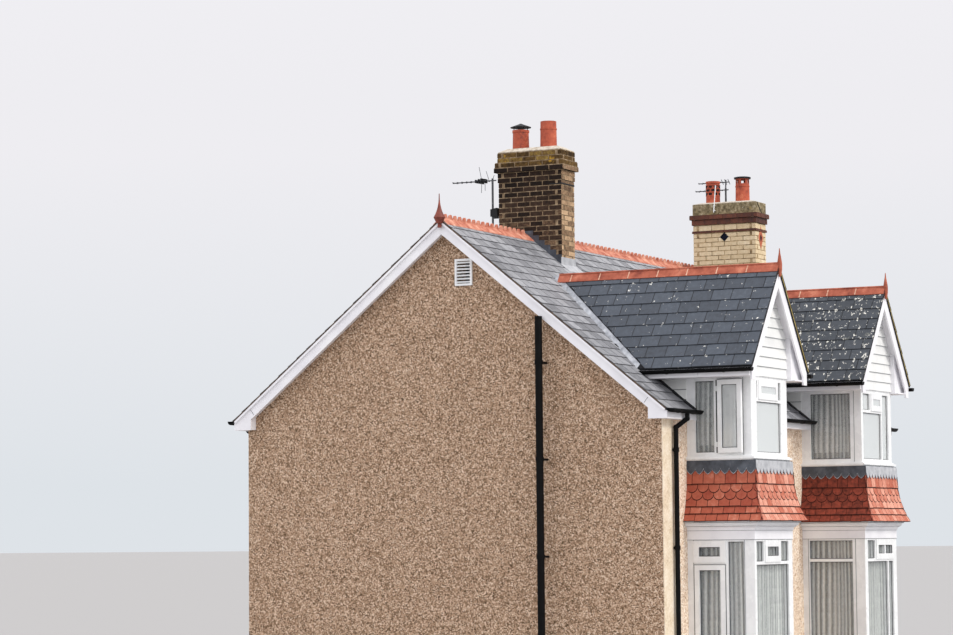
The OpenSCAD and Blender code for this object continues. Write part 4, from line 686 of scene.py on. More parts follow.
def skirtOut(z):      # how far the skirt stands out at a height
    t = max(0.0, min(1.0, (z - skirtLow[2]) / (skirtHigh[2] - skirtLow[2])))
    return skirt["flare"] * (1 - t) ** skirt["curve"]


def hangTiles(i):
    tiles, cover = Pile(), skirt["cover"]
    left, wide, front = skirtBox(i)
    for k, (face, put) in enumerate(boxFaces(left, wide, front).items()):
        def ends(v):
            out = skirtOut(v) + cover["lift"]
            return (-out, wide + out) if face == "front" else (0.0, wallY - front + out)

        shade = skirt["shade"][i][k]
        layCourses(tiles, lambda u, v, h: put(u, v, skirtOut(v) + h), skirt["lines"], ends,
                   dict(cover, vary=skirt["shadedVary"]) if shade < 0 else cover, shade=lambda u, v: shade)
    makePiece(f"skirt_tiles_{sides[i]}", tiles, "clayTile")


def leadScallops():      # the apron's pointed lower edge, over the top course of tiles
    cheeks, fronts, highlights = Pile(), Pile(), Pile()
    top, notch, proud, rim = (scallop[k] for k in ("top", "notch", "proud", "rim"))
    for i in (0, 1):
        left, wide, front = skirtBox(i)
        for face, put in boxFaces(left, wide, front).items():
            def splayed(u, z, h):      # the lead leans out towards its foot
                return put(u, z, proud + scallop["splay"] * (top - z) + h)

            length = wide if face == "front" else wallY - front
            count = round(length / scallop["pitch"])
            step = length / count
            for k in range(count):
                start, end = k * step, (k + 1) * step + (proud if k == count - 1 else 0.0)
                foot = [(start + step * t, notch - scallop["dip"] * h) for t, h in scallop["curve"]]
                shape = [(start, top)] + foot[:-1] + [(end, notch), (end, top)]
                # The fronts take the lead painted as sunlit.
                (fronts if face == "front" else cheeks).slab(
                    [put(u, z, 0.0) for u, z in shape], [splayed(u, z, 0.0) for u, z in shape])
                for (a, b), (c, d) in zip(foot, foot[1:]):
                    edge = [(a, b), (c, d), (c, d + rim["high"]), (a, b + rim["high"])]
                    highlights.slab([put(u, z, rim["under"]) for u, z in edge],
                              [splayed(u, z, rim["proud"]) for u, z in edge])
    makePiece("lead_scallops_sides", cheeks, "lead")
    makePiece("lead_scallops_fronts", fronts, "sunlitLead")
    makePiece("lead_scallop_highlights", highlights, "valleyLead")


def boardGablets():      # lapped boards on the gablets' fronts and on the cheeks below them
    front, cheek, pitch = boards["front"], boards["cheek"], boards["pitch"]
    piles = {name: Pile() for name in ("front", "frontLaps", "cheek", "cheekLaps")}

    def nail(name, k, low, high, put, shape):      # one board, and the painted shadow line under its lap
        if len(shape) < 3:
            return
        ends, group = [u for u, z in shape if z < low + boards["foot"]], boards[name]
        if k and len(ends) > 1:
            piles[name + "Laps"].plate(put, oblong(min(ends), low - group["lapHigh"], max(ends), low),
                                       0.0, group["lapDeep"])
        piles[name].slab([put(u, z, 0.0) for u, z in shape],
                         [put(u, z, boards["thin"] + boards["thick"] * (high - z) / pitch) for u, z in shape],
                         dice.random())

    for i, left in enumerate(bayLeft):
        for k in range(front["count"]):
            low = front["first"] + pitch * k
            shape = oblong(left, low, left + bayWide, low + pitch)
            for side in (-1, 1):
                shape = cut(shape, -side * gabletTan, -1,
                            gabletTop - boards["soffit"] + side * gabletTan * gabletX[i])
            nail("front", k, low, low + pitch, lambda x, z, h: (x, bayY - h, z), shape)
        for x, out in ((left, -1), (left + bayWide, 1)):
            for k in range(cheek["count"]):
                low = cheek["first"] + pitch * k
                high = min(low + pitch, cheek["top"])
                shape = cut(oblong(wallY, low, cheek["back"], high), -mainTan, 1, -ridgeZ)
                nail("cheek", k, low, high, lambda y, z, h: (x + out * h, y, z), shape)
    makePiece("board_lap_shadows_front", piles["frontLaps"], "frontLapShadowGrey")
    makePiece("board_lap_shadows_cheeks", piles["cheekLaps"], "shadowAndSeamGrey")
    makePiece("gablet_weatherboards", piles["front"], "weatherBoard")
    makePiece("cheek_boards", piles["cheek"], "weatherBoard")


def bandRound(pile, bay, out, thick, low, high):      # a band round the three faces of a bay
    left, wide, front = bay
    x0, x1, y0, y1 = left - out, left + wide + out, front - out, front - out + thick
    pile.box((x0, y0, low), (x1, y1, high))
    pile.box((x0, y1, low), (x0 + thick, wallY, high))
    pile.box((x1 - thick, y1, low), (x1, wallY, high))


def finishBays():      # soakers beside the cheeks, near black as lead under the cheeks' painted shade, the noses of the upper windows' sills, and shadow lines
    soakers, noses, lines = Pile(), Pile(), Pile()
    high = (eavesY - valleyStart - valleyRun * (gabletHalf - soaker["short"])) / math.cos(mainPitch)
    for i, left in enumerate(bayLeft):
        for a in (left - soaker["wide"], left + bayWide):
            soakers.plate(mainPoint(-1), oblong(a, 0.0, a + soaker["wide"], high), *soaker["limits"])
        bandRound(noses, bayBoxes["high"][i], *sillNose)
        for line in mouldings:
            bandRound(lines, bayBoxes["low"][i], *line)
    makePiece("cornice_lines", lines, "shadowAndSeamGrey")
    makePiece("cheek_soakers_shaded", soakers, "slateShade")
    makePiece("sill_noses", noses, "whiteProfile")


finishBays()
hangTiles(0)
hangTiles(1)
leadScallops()
boardGablets()
print("bays dressed")


# Chimneys

stacks = {      # each stack's box, how far its widest course stands out, its bricks' top and its bed's rise
    "left": {"box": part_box("left_chimney"), "step": 0.053, "top": ridgeZ + 1.296, "bed": 0.064},
    "right": {"box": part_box("right_chimney"), "step": 0.050, "top": ridgeZ + 1.042, "bed": 0.032},
}
brick = {"course": 0.076, "joint": 0.014, "long": 0.2255, "wide": 0.105, "proud": 0.004, "deep": 0.06}
leftCourses = {
    "out": [0.012, 0.012, 0.042, 0.053, 0.010, 0.010] + [0.0] * 20,      # each one's step out, from the top
    "mossy": 3, "sooty": 9,      # how many are overgrown, and how many have black among them
    "lowest": 0.1, "highest": 0.68, "top": 0.2, "paler": 0.03, "sunlitStreet": 0.6,      # tones, as in layBricks
}
rightCourses = {
    "from": 6.4, "count": 18,      # the plain ones, in courses below the top
    "bands": [      # underside, top, step out, which face owns the corners, whether it is red
        (5.9, 4.6, 0.001, True, False), (6.4, 5.9, 0.018, True, True), (4.6, 3.4, 0.023, False, True),
        (3.4, 2.4, 0.050, True, True)],
}
cap = {"courses": 2.4, "over": 0.006, "proud": 0.004, "skin": 0.003,
       "small": (0.2, 0.1, 0.8, 0.9)}      # the bed's top, in shares of the stack's width and length
lozenges = [      # face, height of the middle, half width, half height, thickness, whether it is red
    ("side", 7.666, 0.078, 0.078, 0.009, False), ("front", 7.636, 0.105, 0.19, 0.009, True),
    ("front", 7.636, 0.040, 0.075, 0.011, False)]
flashing = {
    "lap": 0.094, "thick": 0.008, "below": 0.01,      # lap is one course's rise along the slope
    "stepHigh": 0.085, "apronHigh": 0.12, "apronSide": 0.03, "reach": 0.15, "skirtSide": 0.06,
    "skirt": (0.002, 0.017),      # underside and top above the slope
}


def stackPlan(name):      # the plain shaft's x, y, width and length
    (low, high), step = stacks[name]["box"], stacks[name]["step"]
    return low[0] + step, low[1] + step, high[0] - low[0] - 2 * step, high[1] - low[1] - 2 * step


def roundStack(pile, name, out, low, high, tone=0.5):      # a box round the shaft, out beyond it
    x, y, wide, deep = stackPlan(name)
    pile.box((x - out, y - out, low), (x + wide + out, y + deep + out, high), tone)


def layBricks(pile, name, low, high, out, first, tones=(0.0, 1.0, 0.0)):
    # One course round a stack; out is how far it stands out, first swaps which face owns a corner, and tones
    # are the lowest and highest tone and what the street side adds, as painted sunlight.
    x, y, wide, deep = stackPlan(name)
    out, joint, inner = out + brick["proud"], brick["joint"], brick["deep"]
    limits = ((x - out, x + wide + out), (y - out, y + deep + out))
    for face in range(4):
        along = face % 2      # 0 runs along X, 1 along Y
        (a, b), (p, q) = limits[along], limits[1 - along]
        if (along == 0) != first:      # the other faces own the corners of this course
            a, b = a + brick["wide"], b - brick["wide"]
        p, q = ((p, p + inner), (q - inner, q))[face // 2]
        count = max(1, round((b - a) / brick["long"]))
        cuts = [a + (b - a) * k / count for k in range(count + 1)]
        for c, d in zip(cuts, cuts[1:]):
            c, d = c + joint / 2 * (c > a), d - joint / 2 * (d < b)
            tone = tones[0] + (tones[1] - tones[0]) * dice.random()
            start, end = ((p, c), (q, d)) if along else ((c, p), (d, q))
            pile.box((*start, low), (*end, high - joint), tone, tones[2])


def leftChimneyBricks():
    bricks, mossy, look = Pile(), Pile(), leftCourses
    for k, out in enumerate(look["out"]):
        high = stacks["left"]["top"] - k * brick["course"]
        course = ("left", high - brick["course"], high, out, k % 2 == 0)
        if k < look["mossy"]:
            layBricks(mossy, *course)
        else:      # darker towards the top
            lowest = 0.0 if k < look["sooty"] else look["lowest"]
            highest = min(look["highest"], look["top"] + look["paler"] * k)
            layBricks(bricks, *course, (lowest, highest, look["sunlitStreet"]))
    makePiece("left_stack_bricks", bricks, "brownBrick")
    makePiece("left_stack_head", mossy, "lichenBrick")


def rightChimneyBricks():
    plain, red = Pile(), Pile()
    top, course = stacks["right"]["top"], brick["course"]
    for k in range(rightCourses["count"]):
        high = top - (rightCourses["from"] + k) * course
        layBricks(plain, "right", high - course, high, 0.0, k % 2 == 0)
    for low, high, out, first, painted in rightCourses["bands"]:
        low, high = top - low * course, top - high * course
        layBricks(red if painted else plain, "right", low, high, out, first)
        if painted:      # their dark joints, 1 mm out
            roundStack(red, "right", out + mm, low + mm, high - mm, 0.0)
    makePiece("right_stack_bricks", plain, "paintedBrick")
    makePiece("right_stack_bands", red, "redPaint")


def capsAndBeds():      # cement on both stacks: the right one's cap, and the beds that the pots stand in
    cement, bed = Pile(), Pile()
    over, skin, top = cap["over"], cap["skin"], stacks["right"]["top"]
    roundStack(cement, "right", over + cap["proud"], top - cap["courses"] * brick["course"], top)
    for name, stack in stacks.items():
        x, y, wide, deep = stackPlan(name)

        def place(u, v, h):
            return (x + u, y + v, stack["top"] + h)

        ring, lip = oblong(-over, -over, wide + over, deep + over), stack["bed"] / 8 + skin
        bed.plate(place, ring, 0.0, lip)
        bed.slab([place(u, v, lip - mm) for u, v in ring],
                 [place(wide * u, deep * v, stack["bed"] + skin) for u, v in oblong(*cap["small"])])
    makePiece("stack_cap", cement, "capCement")
    makePiece("pot_beds", bed, "bedCement")


def diamonds():      # lozenges painted on the right stack's two seen faces
    x, y, wide, deep = stackPlan("right")
    navy, red = Pile(), Pile()
    for face, z, half, tall, proud, painted in lozenges:
        def put(u, v, h):
            return (x - h, y + deep / 2 + u, z + v) if face == "side" else (x + wide / 2 + u, y - h, z + v)

        shape = [(-half, 0), (0, -tall), (half, 0), (0, tall)]
        (red if painted else navy).plate(put, shape, 0.0, proud)
    makePiece("stack_diamond_side", navy, "navyPaint")
    makePiece("stack_diamond_front", red, "terracottaPaint")


def flashings():      # lead where the stacks meet the slates: steps up the sides, aprons in front and behind in lead painted as sunlit
    side, front, thick = Pile(), Pile(), flashing["thick"]
    for name in stacks:
        x, y, wide, deep = stackPlan(name)
        count = round(deep / flashing["lap"])
        for face, out in ((x, -1), (x + wide, 1)):
            for k in range(count):
                a, b = y + deep * k / count, y + deep * (k + 1) / count
                start, end = (ridgeZ - abs(v) * mainTan for v in (a, b))
                high = max(start, end) + flashing["stepHigh"]
                step = [(a, start - flashing["below"]), (b, end - flashing["below"]), (b, high), (a, high)]
                side.plate(lambda v, z, h: (face + out * h, v, z), step, 0.0, thick)
        for face, out in ((y, -1), (y + deep, 1)):
            foot = ridgeZ - abs(face) * mainTan
            down = math.copysign(mainTan, face * out)      # whether the slates fall away from this face
            a, b = x - flashing["apronSide"], x + wide + flashing["apronSide"]
            front.plate(lambda u, z, h: (u, face + out * h, z),
                        oblong(a, foot - flashing["below"], b, foot + flashing["apronHigh"]), 0.0, thick)
            a, b = x - flashing["skirtSide"], x + wide + flashing["skirtSide"]
            front.plate(lambda u, v, h: (u, face + out * v, foot - down * v + h),
                        oblong(a, 0.0, b, flashing["reach"]), *flashing["skirt"])
    makePiece("stack_steps", side, "lead")
    makePiece("stack_aprons", front, "sunlitLead")


masts = {      # boxes are two corners, rods two ends and a radius
    "reflectors": [((-1.901, y, 8.078 - high), (-1.801, y + 0.018, 8.078 + high))
                   for y, high in ((0.70, 0.030), (0.755, 0.042), (0.80, 0.034), (0.85, 0.024))],
    "amplifier": [[(-1.896, y, z), (-1.806, y, z), (-1.806, 0.612, top), (-1.896, 0.612, top)]
                  for y, z, top in ((0.495, 7.505, 7.525), (0.505, 7.655, 7.635))],
    "whiskers": [((-1.851, a, b), (-1.851, c, d), 0.004) for a, b, c, d in (
        (0.773, 8.085, 0.817, 8.300), (0.650, 8.085, 0.696, 8.228), (0.773, 8.075, 0.780, 7.900),
        (0.717, 8.075, 0.717, 7.930), (0.590, 8.09, 0.560, 8.16))],
    "second": [((4.656, -0.595, 8.555), (4.656, -0.599, 8.700), 0.012),
               ((4.656, -0.665, 8.660), (4.656, -0.100, 8.660), 0.009)],
    "bars": [((4.566, -0.135 - 0.08 * k, 8.660), (4.746, -0.135 - 0.08 * k, 8.660), 0.005) for k in range(6)],
    "loops": [((4.656, y - 0.02, 8.62), (4.656, y + 0.02, 8.71), 0.006) for y in (-0.655, -0.595, -0.535)],
    "pole": ((4.058, -0.612, 8.085), (4.058, -0.652, 8.540), 0.009),
    "clips": [((4.050, -0.640, z), (4.074, -0.605, z + 0.012)) for z in (8.11, 8.19)],
}
louvres = {
    "x": 4.310, "y": -0.503, "first": 8.518, "high": 0.038, "rows": 3, "count": 8, "pitch": 0.060,
    "half": 0.24, "inner": 0.117, "outer": 0.1225,      # half of each slot's turn, in radians
    "bar": [(0.117, 0.0), (0.1245, 0.0), (0.1245, 0.012), (0.117, 0.012)], "barFirst": 8.564,
}
coverRim = [(0.112, -0.010), (0.1400, -0.014), (0.1412, 0.014), (0.112, 0.020)], (4.310, -1.037, 8.662)
strap = {"below": 0.528, "proud": 0.008, "front": 0.020, "side": 0.014, "back": 0.20, "inner": 0.02}
capCrack = {"line": [(4.165, 8.228), (4.195, 8.176), (4.262, 8.140), (4.285, 8.098), (4.360, 8.058)],
            "half": 0.017, "y": (-1.350, -1.3575)}
bargeJoint = {"x": (-4.6975, 4.6955), "thick": 0.002,
              "shape": [(3.106, 4.484), (3.116, 4.488), (3.176, 4.565), (3.166, 4.561)]}


def mastFittings():      # reflectors, amplifier, whiskers, the second aerial and the pole clipped to the cap
    dark, metal, pale = Pile(), Pile(), Pile()
    for corners in masts["reflectors"]:
        dark.box(*corners)
    dark.slab(*masts["amplifier"])
    for bar in masts["whiskers"] + masts["second"] + masts["bars"] + masts["loops"]:
        metal.rod(*bar)
    pale.rod(*masts["pole"])
    for corners in masts["clips"]:
        pale.box(*corners)
    makePiece("mast_boxes", dark, "cowlMetal")
    makePiece("mast_rods", metal, "aerialMetal")
    makePiece("cap_pole", pale, "whiteProfile")


def potFittings():      # louvres round one pot, a rim on the other's cover, and the left stack's strap
    slots, bars, dark = Pile(), Pile(), Pile()
    x, y, half, count = louvres["x"], louvres["y"], louvres["half"], louvres["count"]
    for k in range(louvres["rows"]):
        low = louvres["first"] - louvres["pitch"] * k
        for j in range(count):
            turns = [tau * (j + 0.5 * (k % 2)) / count + d for d in (-half, 0.0, half)]
            turns = [(louvres["inner"], t) for t in turns] + [(louvres["outer"], t) for t in turns[::-1]]
            slots.plate(lambda r, t, z: (x + r * math.cos(t), y + r * math.sin(t), z), turns,
                        low, low + louvres["high"])
        bars.tube(louvres["bar"], (x, y, louvres["barFirst"] - louvres["pitch"] * k))
    dark.tube(*coverRim)
    x, y, wide, deep = stackPlan("left")
    z, out, inner = stacks["left"]["top"] - strap["below"], strap["proud"], strap["inner"]
    dark.box((x - out, y - out, z), (x + wide + out, y + inner, z + strap["front"]))
    for a, b in ((x - out, x + inner), (x + wide - inner, x + wide + out)):
        dark.box((a, y + inner, z), (b, y + strap["back"], z + strap["side"]))
    makePiece("pot_louvres", slots, "sootAndShadeBlack")
    makePiece("pot_louvre_bars", bars, "potClay")
    makePiece("stack_straps", dark, "cowlMetal")


def crackLines():      # the crack across the right cap, and the joints in the gables' bargeboards
    crack, joint, half = Pile(), Pile(), capCrack["half"]
    for (a, b), (c, d) in zip(capCrack["line"], capCrack["line"][1:]):
        crack.plate(lambda u, z, y: (u, y, z), [(a - half, b), (a + half, b), (c + half, d), (c - half, d)],
                    *capCrack["y"])
    for x in bargeJoint["x"]:
        for side in (-1, 1):
            joint.plate(lambda u, z, h: (x + h, side * u, z), bargeJoint["shape"], 0.0, bargeJoint["thick"])
    makePiece("cap_crack", crack, "sootAndShadeBlack")
    makePiece("barge_joints", joint, "gasketAndShadeBlack")


mastFittings()
potFittings()
crackLines()
leftChimneyBricks()
rightChimneyBricks()
capsAndBeds()
diamonds()
flashings()
print("chimneys built")


# Windows: gaskets, sashes, the open casement and net curtains

panes = {      # mm in each face, for both houses: from, bottom, to, top; side faces start at the wall
    "low": {"front": ([(70, 860, 1300, 2255), (70, 2299, 340, 2576), (458, 2373, 885, 2502),
                       (1003, 2299, 1300, 2576)],
                      [(127, 860, 1039, 2255), (1083, 860, 1297, 2255), (127, 2299, 462, 2576),
                       (580, 2373, 1223, 2502)]),
            "west": ([(100, 860, 561, 2255), (174, 2373, 487, 2502), (605, 860, 838, 2576)],
                     [(110, 860, 800, 2255), (110, 2299, 800, 2576)]),
            "east": ([(110, 860, 800, 2255), (110, 2299, 800, 2576)],) * 2},
    "high": {"front": ([(215, 3816, 1145, 4520), (366, 4638, 928, 4736), (1046, 4564, 1145, 4810)],
                       [(87, 3816, 921, 4520), (87, 4564, 408, 4810), (526, 4638, 847, 4736),
                        (965, 3816, 1249, 4810)]),
             "west": ([(130, 3816, 410, 4810)], [(146, 3816, 783, 4810)]),
             "east": ([(146, 3816, 783, 4810)],) * 2},
}
sashes = {      # opening lights: the sash's outline and its pane
    "low": {"front": ([((384, 2299, 959, 2576), (458, 2373, 885, 2502))],
                      [((506, 2299, 1297, 2576), (580, 2373, 1223, 2502))]),
            "west": ([((100, 2299, 561, 2576), (174, 2373, 487, 2502)),
                      ((100, 860, 561, 2255), (174, 934, 487, 2181))], [])},
    "high": {"front": ([((292, 4564, 1002, 4810), (366, 4638, 928, 4736))],
                       [((452, 4564, 921, 4810), (526, 4638, 847, 4736))])},
}
openerBar = ((877, 2365, 927, 2510), (901, 2372, 903, 2503), -0.034, 0.010)      # in the right's low opener
seams = {      # between frames and posts, in metres
    "low": [(0.087, 0.82, 0.093, 2.598), (0.846, 0.82, 0.852, 2.598)], "high": [(0.843, 3.77, 0.849, 4.848)]}
glazing = {      # mm that outer and inner limits grow by, then metres out from the face
    "gasket": (0, -9, -0.032, -0.026), "mirror": (-2, -0.0315, -0.031), "gap": (8, 0, -0.002, 0.004),
    "highPane": 13, "sashMirror": (0, 0.0005, 0.0025), "sash": -1, "bead": (2, -7), "beadThick": 0.006,
    "seam": (-0.002, 0.004), "front": 0.012, "back": -0.001,
    "leafBack": -0.034,      # a leaf over a wider pane fills its reveal
}


def dressWindows(i):
    gasket, sash, seam, mirror = Pile(), Pile(), Pile(), Pile()
    for level in ("low", "high"):
        puts = boxFaces(*bayBoxes[level][i])
        for face, bays in panes[level].items():
            for pane in bays[i]:
                gasket.rim(puts[face], pane, *glazing["gasket"])
                # The upper fronts' panes carry a painted reflection of the bright sky.
                if level == "high" and face == "front":
                    mirror.pane(puts[face], pane, *glazing["mirror"])
        for face, bays in sashes[level].items():
            for outline, pane in bays[i]:
                deep = glazing["back" if pane in panes[level][face][i] else "leafBack"]
                gasket.rim(puts[face], outline, *glazing["gap"])
                if level == "high":      # these panes lie near the sash's face, and carry the painted sky reflection too
                    pane = grown(pane, glazing["highPane"])
                    mirror.pane(puts[face], pane, *glazing["sashMirror"])
                sash.border(puts[face], grown(outline, glazing["sash"]), grown(pane, glazing["bead"][0]),
                            deep, glazing["front"])
                gasket.rim(puts[face], pane, *glazing["bead"], deep, deep + glazing["beadThick"])
        for joint in seams[level]:
            seam.plate(puts["west"], oblong(*joint), *glazing["seam"])
    if i == 1:
        sash.border(boxFaces(*bayBoxes["low"][i])["front"], *openerBar)
    makePiece(f"pane_gaskets_{sides[i]}", gasket, "gasketAndShadeBlack")
    makePiece(f"frame_seams_{sides[i]}", seam, "shadowAndSeamGrey")
    makePiece(f"painted_sky_panes_{sides[i]}", mirror, "paintedSkyGlass")
    makePiece(f"raised_sashes_{sides[i]}", sash, "whiteProfile")


casement = {
    "pivot": (-3.653, -3.782), "open": 9,      # degrees
    "leaf": (0, 3804, 384, 4822), "pane": (70, 3874, 314, 4752),      # mm, as the panes above
    "bars": [(0, 0, 0.0, 0.036), (-6, 12, 0.035, 0.040)],      # how leaf and pane grow, then back and front
    "gasket": (0, -8, 0.014, 0.028), "glass": (0, 0.017, 0.023),
    "hinges": (3.924, 4.702), "plate": (0.008, 0.066, 0.035),
    "knuckle": [(0.0, -0.04), (0.007, -0.04), (0.007, 0.04), (0.0, 0.04)], "knuckleSides": 12,
    "stay": ((0.20, 3.806, 0.222, 3.812), -0.11, 0.0), "edge": ((3.806, 0.0, 4.820, 0.034), -0.0025, 0.0),
    # a painted shadow line over the leaf's top
    "head": ((0.0, 0.0, 0.384, 0.03), 4.8225, 4.831),
    "gap": ((-3.650, -3.784, 3.806), (-3.6445, -3.742, 4.822)),      # beside the mullion: the seal, and the painted shadow of its gap
    "shadedRoom": [(0.299, 3.876), (0.3135, 3.876), (0.300, 4.52), (0.297, 4.52)],      # a painted dark room, seen past the pane's edge
    "shadedRoomAt": (0.0235, 0.0245),
}


def hangCasement():      # the open light on the left bay, with its pane, gasket and stay, and the painted shadow and dark room beside it
    (x, y), turn = casement["pivot"], math.radians(casement["open"])
    leaf, pane = casement["leaf"], casement["pane"]
    bars, gasket, glass = Pile(), Pile(), Pile()

    def put(u, z, w):      # u along the leaf from its hinges, w out from its back
        return (x - math.sin(turn) * u - math.cos(turn) * w, y - math.cos(turn) * u + math.sin(turn) * w, z)

    for outer, inner, low, high in casement["bars"]:
        bars.border(put, grown(leaf, outer), grown(pane, inner), low, high)
    gasket.rim(put, pane, *casement["gasket"])
    glass.pane(put, pane, *casement["glass"])
    thick, wide, half = casement["plate"]
    for z in casement["hinges"]:
        bars.tube(casement["knuckle"], (x, y, z), casement["knuckleSides"])
        bars.box((x, y, z - half), (x + thick, y + wide, z + half))
    gasket.box(*casement["gap"])
    for key, place in (("stay", put), ("edge", lambda z, w, u: put(u, z, w)),
                       ("head", lambda u, w, z: put(u, z, w))):
        shape, low, high = casement[key]
        gasket.plate(place, oblong(*shape), low, high)
    gasket.plate(put, casement["shadedRoom"], *casement["shadedRoomAt"])
    shown = makePiece("casement_leaf", bars, "whiteProfile")
    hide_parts("open_casement")
    makePiece("casement_gasket", gasket, "gasketAndShadeBlack")
    makePiece("casement_pane", glass, "tiltedGlass")


net = {
    "column": 0.009, "rows": 8, "pitch": 0.070, "strength": (0.35, 1.0),      # a fold's width and strengths
    "sway": ((0.45, 6.1, 1), (0.16, 15, 2)), "lean": (0.12, 3, 5),      # how the folds wander
    "start": 6, "round": 6.28,      # the largest angle that a net starts at, and a full turn
    "deep": 0.012, "deeper": 0.006,      # how far folds stand out at the top, and more at the foot
    "shade": 0.10, "fall": 0.20, "hem": 0.22, "scallop": 0.085,      # painted shade at the head, cut away at the hem
}
nets = {      # bottom, top, window, the front net's material and how full its folds are
    "low": (0.83, 2.572, "ground_window", "paleNet", 1.0),
    "high": (3.79, 4.815, "upper_window", "denseNet", 0.2)}
netInset = {"front": 0.092, "ends": 0.073, "wall": 0.01, "corner": 0.115}


def hangNet(name, start, end, low, high, window, material, fullness=1.0):
    along = Vector((end[0] - start[0], end[1] - start[1], 0))
    length = along.length
    along.normalize()
    across = Vector((-along.y, along.x, 0))
    columns, rows = int(length / net["column"]), net["rows"]
    phase = dice.random() * net["start"]
    strength = [dice.uniform(*net["strength"]) for k in range(int(length / net["pitch"]) + 3)]
    pile = Pile()

    def fold(s, t):
        turn = s / net["pitch"] + phase / net["round"]
        turn += sum(size * math.sin(s * rate + shift * phase) for size, rate, shift in net["sway"])
        turn += net["lean"][0] * math.sin(t * net["lean"][1] + s * net["lean"][2])
        return math.sin(tau * turn) * strength[int(turn) % len(strength)] * fullness

    for j in range(rows + 1):
        t = j / rows
        for k in range(columns + 1):
            s = length * k / columns
            deep = (net["deep"] + net["deeper"] * (1 - t)) * fold(s, t)
            pile.points.append(Vector((*start, low + (high - low) * t)) + along * s + across * deep)
    for j in range(rows):
        for k in range(columns):
            a = j * (columns + 1) + k
            pile.faces.append((a, a + 1, a + columns + 2, a + columns + 1))
            s, t = length * (k + 0.5) / columns, (j + 0.5) / rows
            shade = net["shade"] - net["fall"] * t
            if j == 0:
                shade -= net["hem"] + net["hem"] * math.cos(tau * s / net["scallop"])
            pile.tones.append(max(0.0, min(1.0, 0.5 + 0.5 * fold(s, t) + shade * fullness)))
    piece = makePiece(name, pile, material, smooth=True)
    middle = pile.points[rows // 2 * (columns + 1):][:columns + 1]
    flatWide = sum((b - a).length for a, b in zip(middle, middle[1:]))


def hangNets(i):      # across the front and both sides of each bay window
    inset, ends, wall, corner = (netInset[k] for k in ("front", "ends", "wall", "corner"))
    for level, (low, high, window, material, fullness) in nets.items():
        (left, wide, front), window = bayBoxes[level][i], f"{window}_{sides[i]}"
        hangNet(f"net_{level}_front_{sides[i]}", (left + ends, front + inset),
                (left + wide - ends, front + inset), low, high, window, material, fullness)
        for x, end in ((left + inset, "west"), (left + wide - inset, "east")):
            hangNet(f"net_{level}_{end}_{sides[i]}", (x, wallY - wall), (x, front + corner),
                    low, high, window, "sheerNet")


wallWindows = {
    "lights": [      # left, width, bottom, top, street or back
        (-1.46, 0.820, 3.270, 4.190, -1), (3.08, 0.820, 3.270, 4.190, -1),
        (-1.860, 1.300, 1.100, 2.200, 1), (-1.860, 1.300, 3.270, 4.190, 1),
        (0.560, 1.300, 1.100, 2.200, 1), (0.560, 1.300, 3.270, 4.190, 1)],
    "face": 3.218, "sash": 0.074, "mullion": 0.044,
    "glass": (0.0045, 0.0065), "gasket": (0, -8, 0.006, 0.010),      # as in glazing
    "strip": 0.016, "under": -0.001, "top": (0.002, 0.003),      # the cloth's strips and their thickness
    "tones": (0.55, 0.35, 1.25, 1.3, 0.31),      # middle, swing, and how the folds wander: the strips' painted light and shade
}
doors = {
    "places": [(-1.52, -1), (3.02, -1), (-3.56, 1), (2.62, 1)],      # left side, street or back
    "face": 3.234,
    "panels": [(u, low, u + 260, high) for u in (150, 530) for low, high in ((380, 1013.6), (1133.6, 2100))],
    "beads": [(0, -22, -0.009, -0.001), (6, -8, -0.002, 0.004)],      # as in glazing
    "knobs": [(1.085, -0.001, 0.004, 0.026), (1.085, -0.001, 0.034, 0.010), (1.245, -0.001, 0.006, 0.016),
              (1.245, -0.001, 0.009, 0.006), (1.085, 0.034, 0.042, 0.022), (1.085, 0.042, 0.052, 0.028),
              (1.085, 0.052, 0.057, 0.020)],      # height, from, to, radius
    "knobAt": 0.835, "knobSides": 20, "plate": (345, 1042, 595, 1108), "rim": (0, -12, -0.001, 0.006),
    "flap": (-12, -0.001, 0.004),
}


def onWall(x, side, face):      # put(u, z, out) on a wall's window or door
    return lambda u, z, out: (x + u, side * (face + out), z)


def dressWallWindows():      # curtains behind glass in the plain windows of the street wall and the back
    sash, half = wallWindows["sash"], wallWindows["mullion"] / 2
    mid, swing, rate, sway, slow = wallWindows["tones"]
    cloth, glass, gasket = Pile(), Pile(), Pile()
    for x, wide, low, high, side in wallWindows["lights"]:
        put, low, high = onWall(x, side, wallWindows["face"]), low + sash, high - sash
        for a, b in ((sash, wide / 2 - half), (wide / 2 + half, wide - sash)):
            count = round((b - a) / wallWindows["strip"])
            for k in range(count):
                tone = mid + swing * math.sin(k * rate + sway * math.sin(k * slow))
                strip = oblong(a + (b - a) * k / count, low, a + (b - a) * (k + 1) / count, high)
                cloth.plate(put, strip, wallWindows["under"], wallWindows["top"][k % 2], tone)
            glass.plate(put, oblong(a, low, b, high), *wallWindows["glass"])
            gasket.rim(put, [v / mm for v in (a, low, b, high)], *wallWindows["gasket"])
    makePiece("wall_window_curtains", cloth, "curtainCloth")
    makePiece("wall_window_glass", glass, "floatGlass")
    makePiece("wall_window_gaskets", gasket, "gasketAndShadeBlack")


def furnishDoors():      # letter plates, knobs, locks and the beads round the sunk panels
    brass, beads = Pile(), Pile()
    for x, side in doors["places"]:
        put = onWall(x, side, doors["face"])
        for panel in doors["panels"]:
            for bead in doors["beads"]:
                beads.rim(put, panel, *bead)
        for z, low, high, r in doors["knobs"]:
            ends = [put(doors["knobAt"], z, out) for out in (low, high)]
            brass.rod(*ends, r, doors["knobSides"])
        if side < 0:
            brass.rim(put, doors["plate"], *doors["rim"])
            brass.pane(put, doors["plate"], *doors["flap"])
    makePiece("door_furniture", brass, "castBrass")
    makePiece("door_beads", beads, "doorPaint")


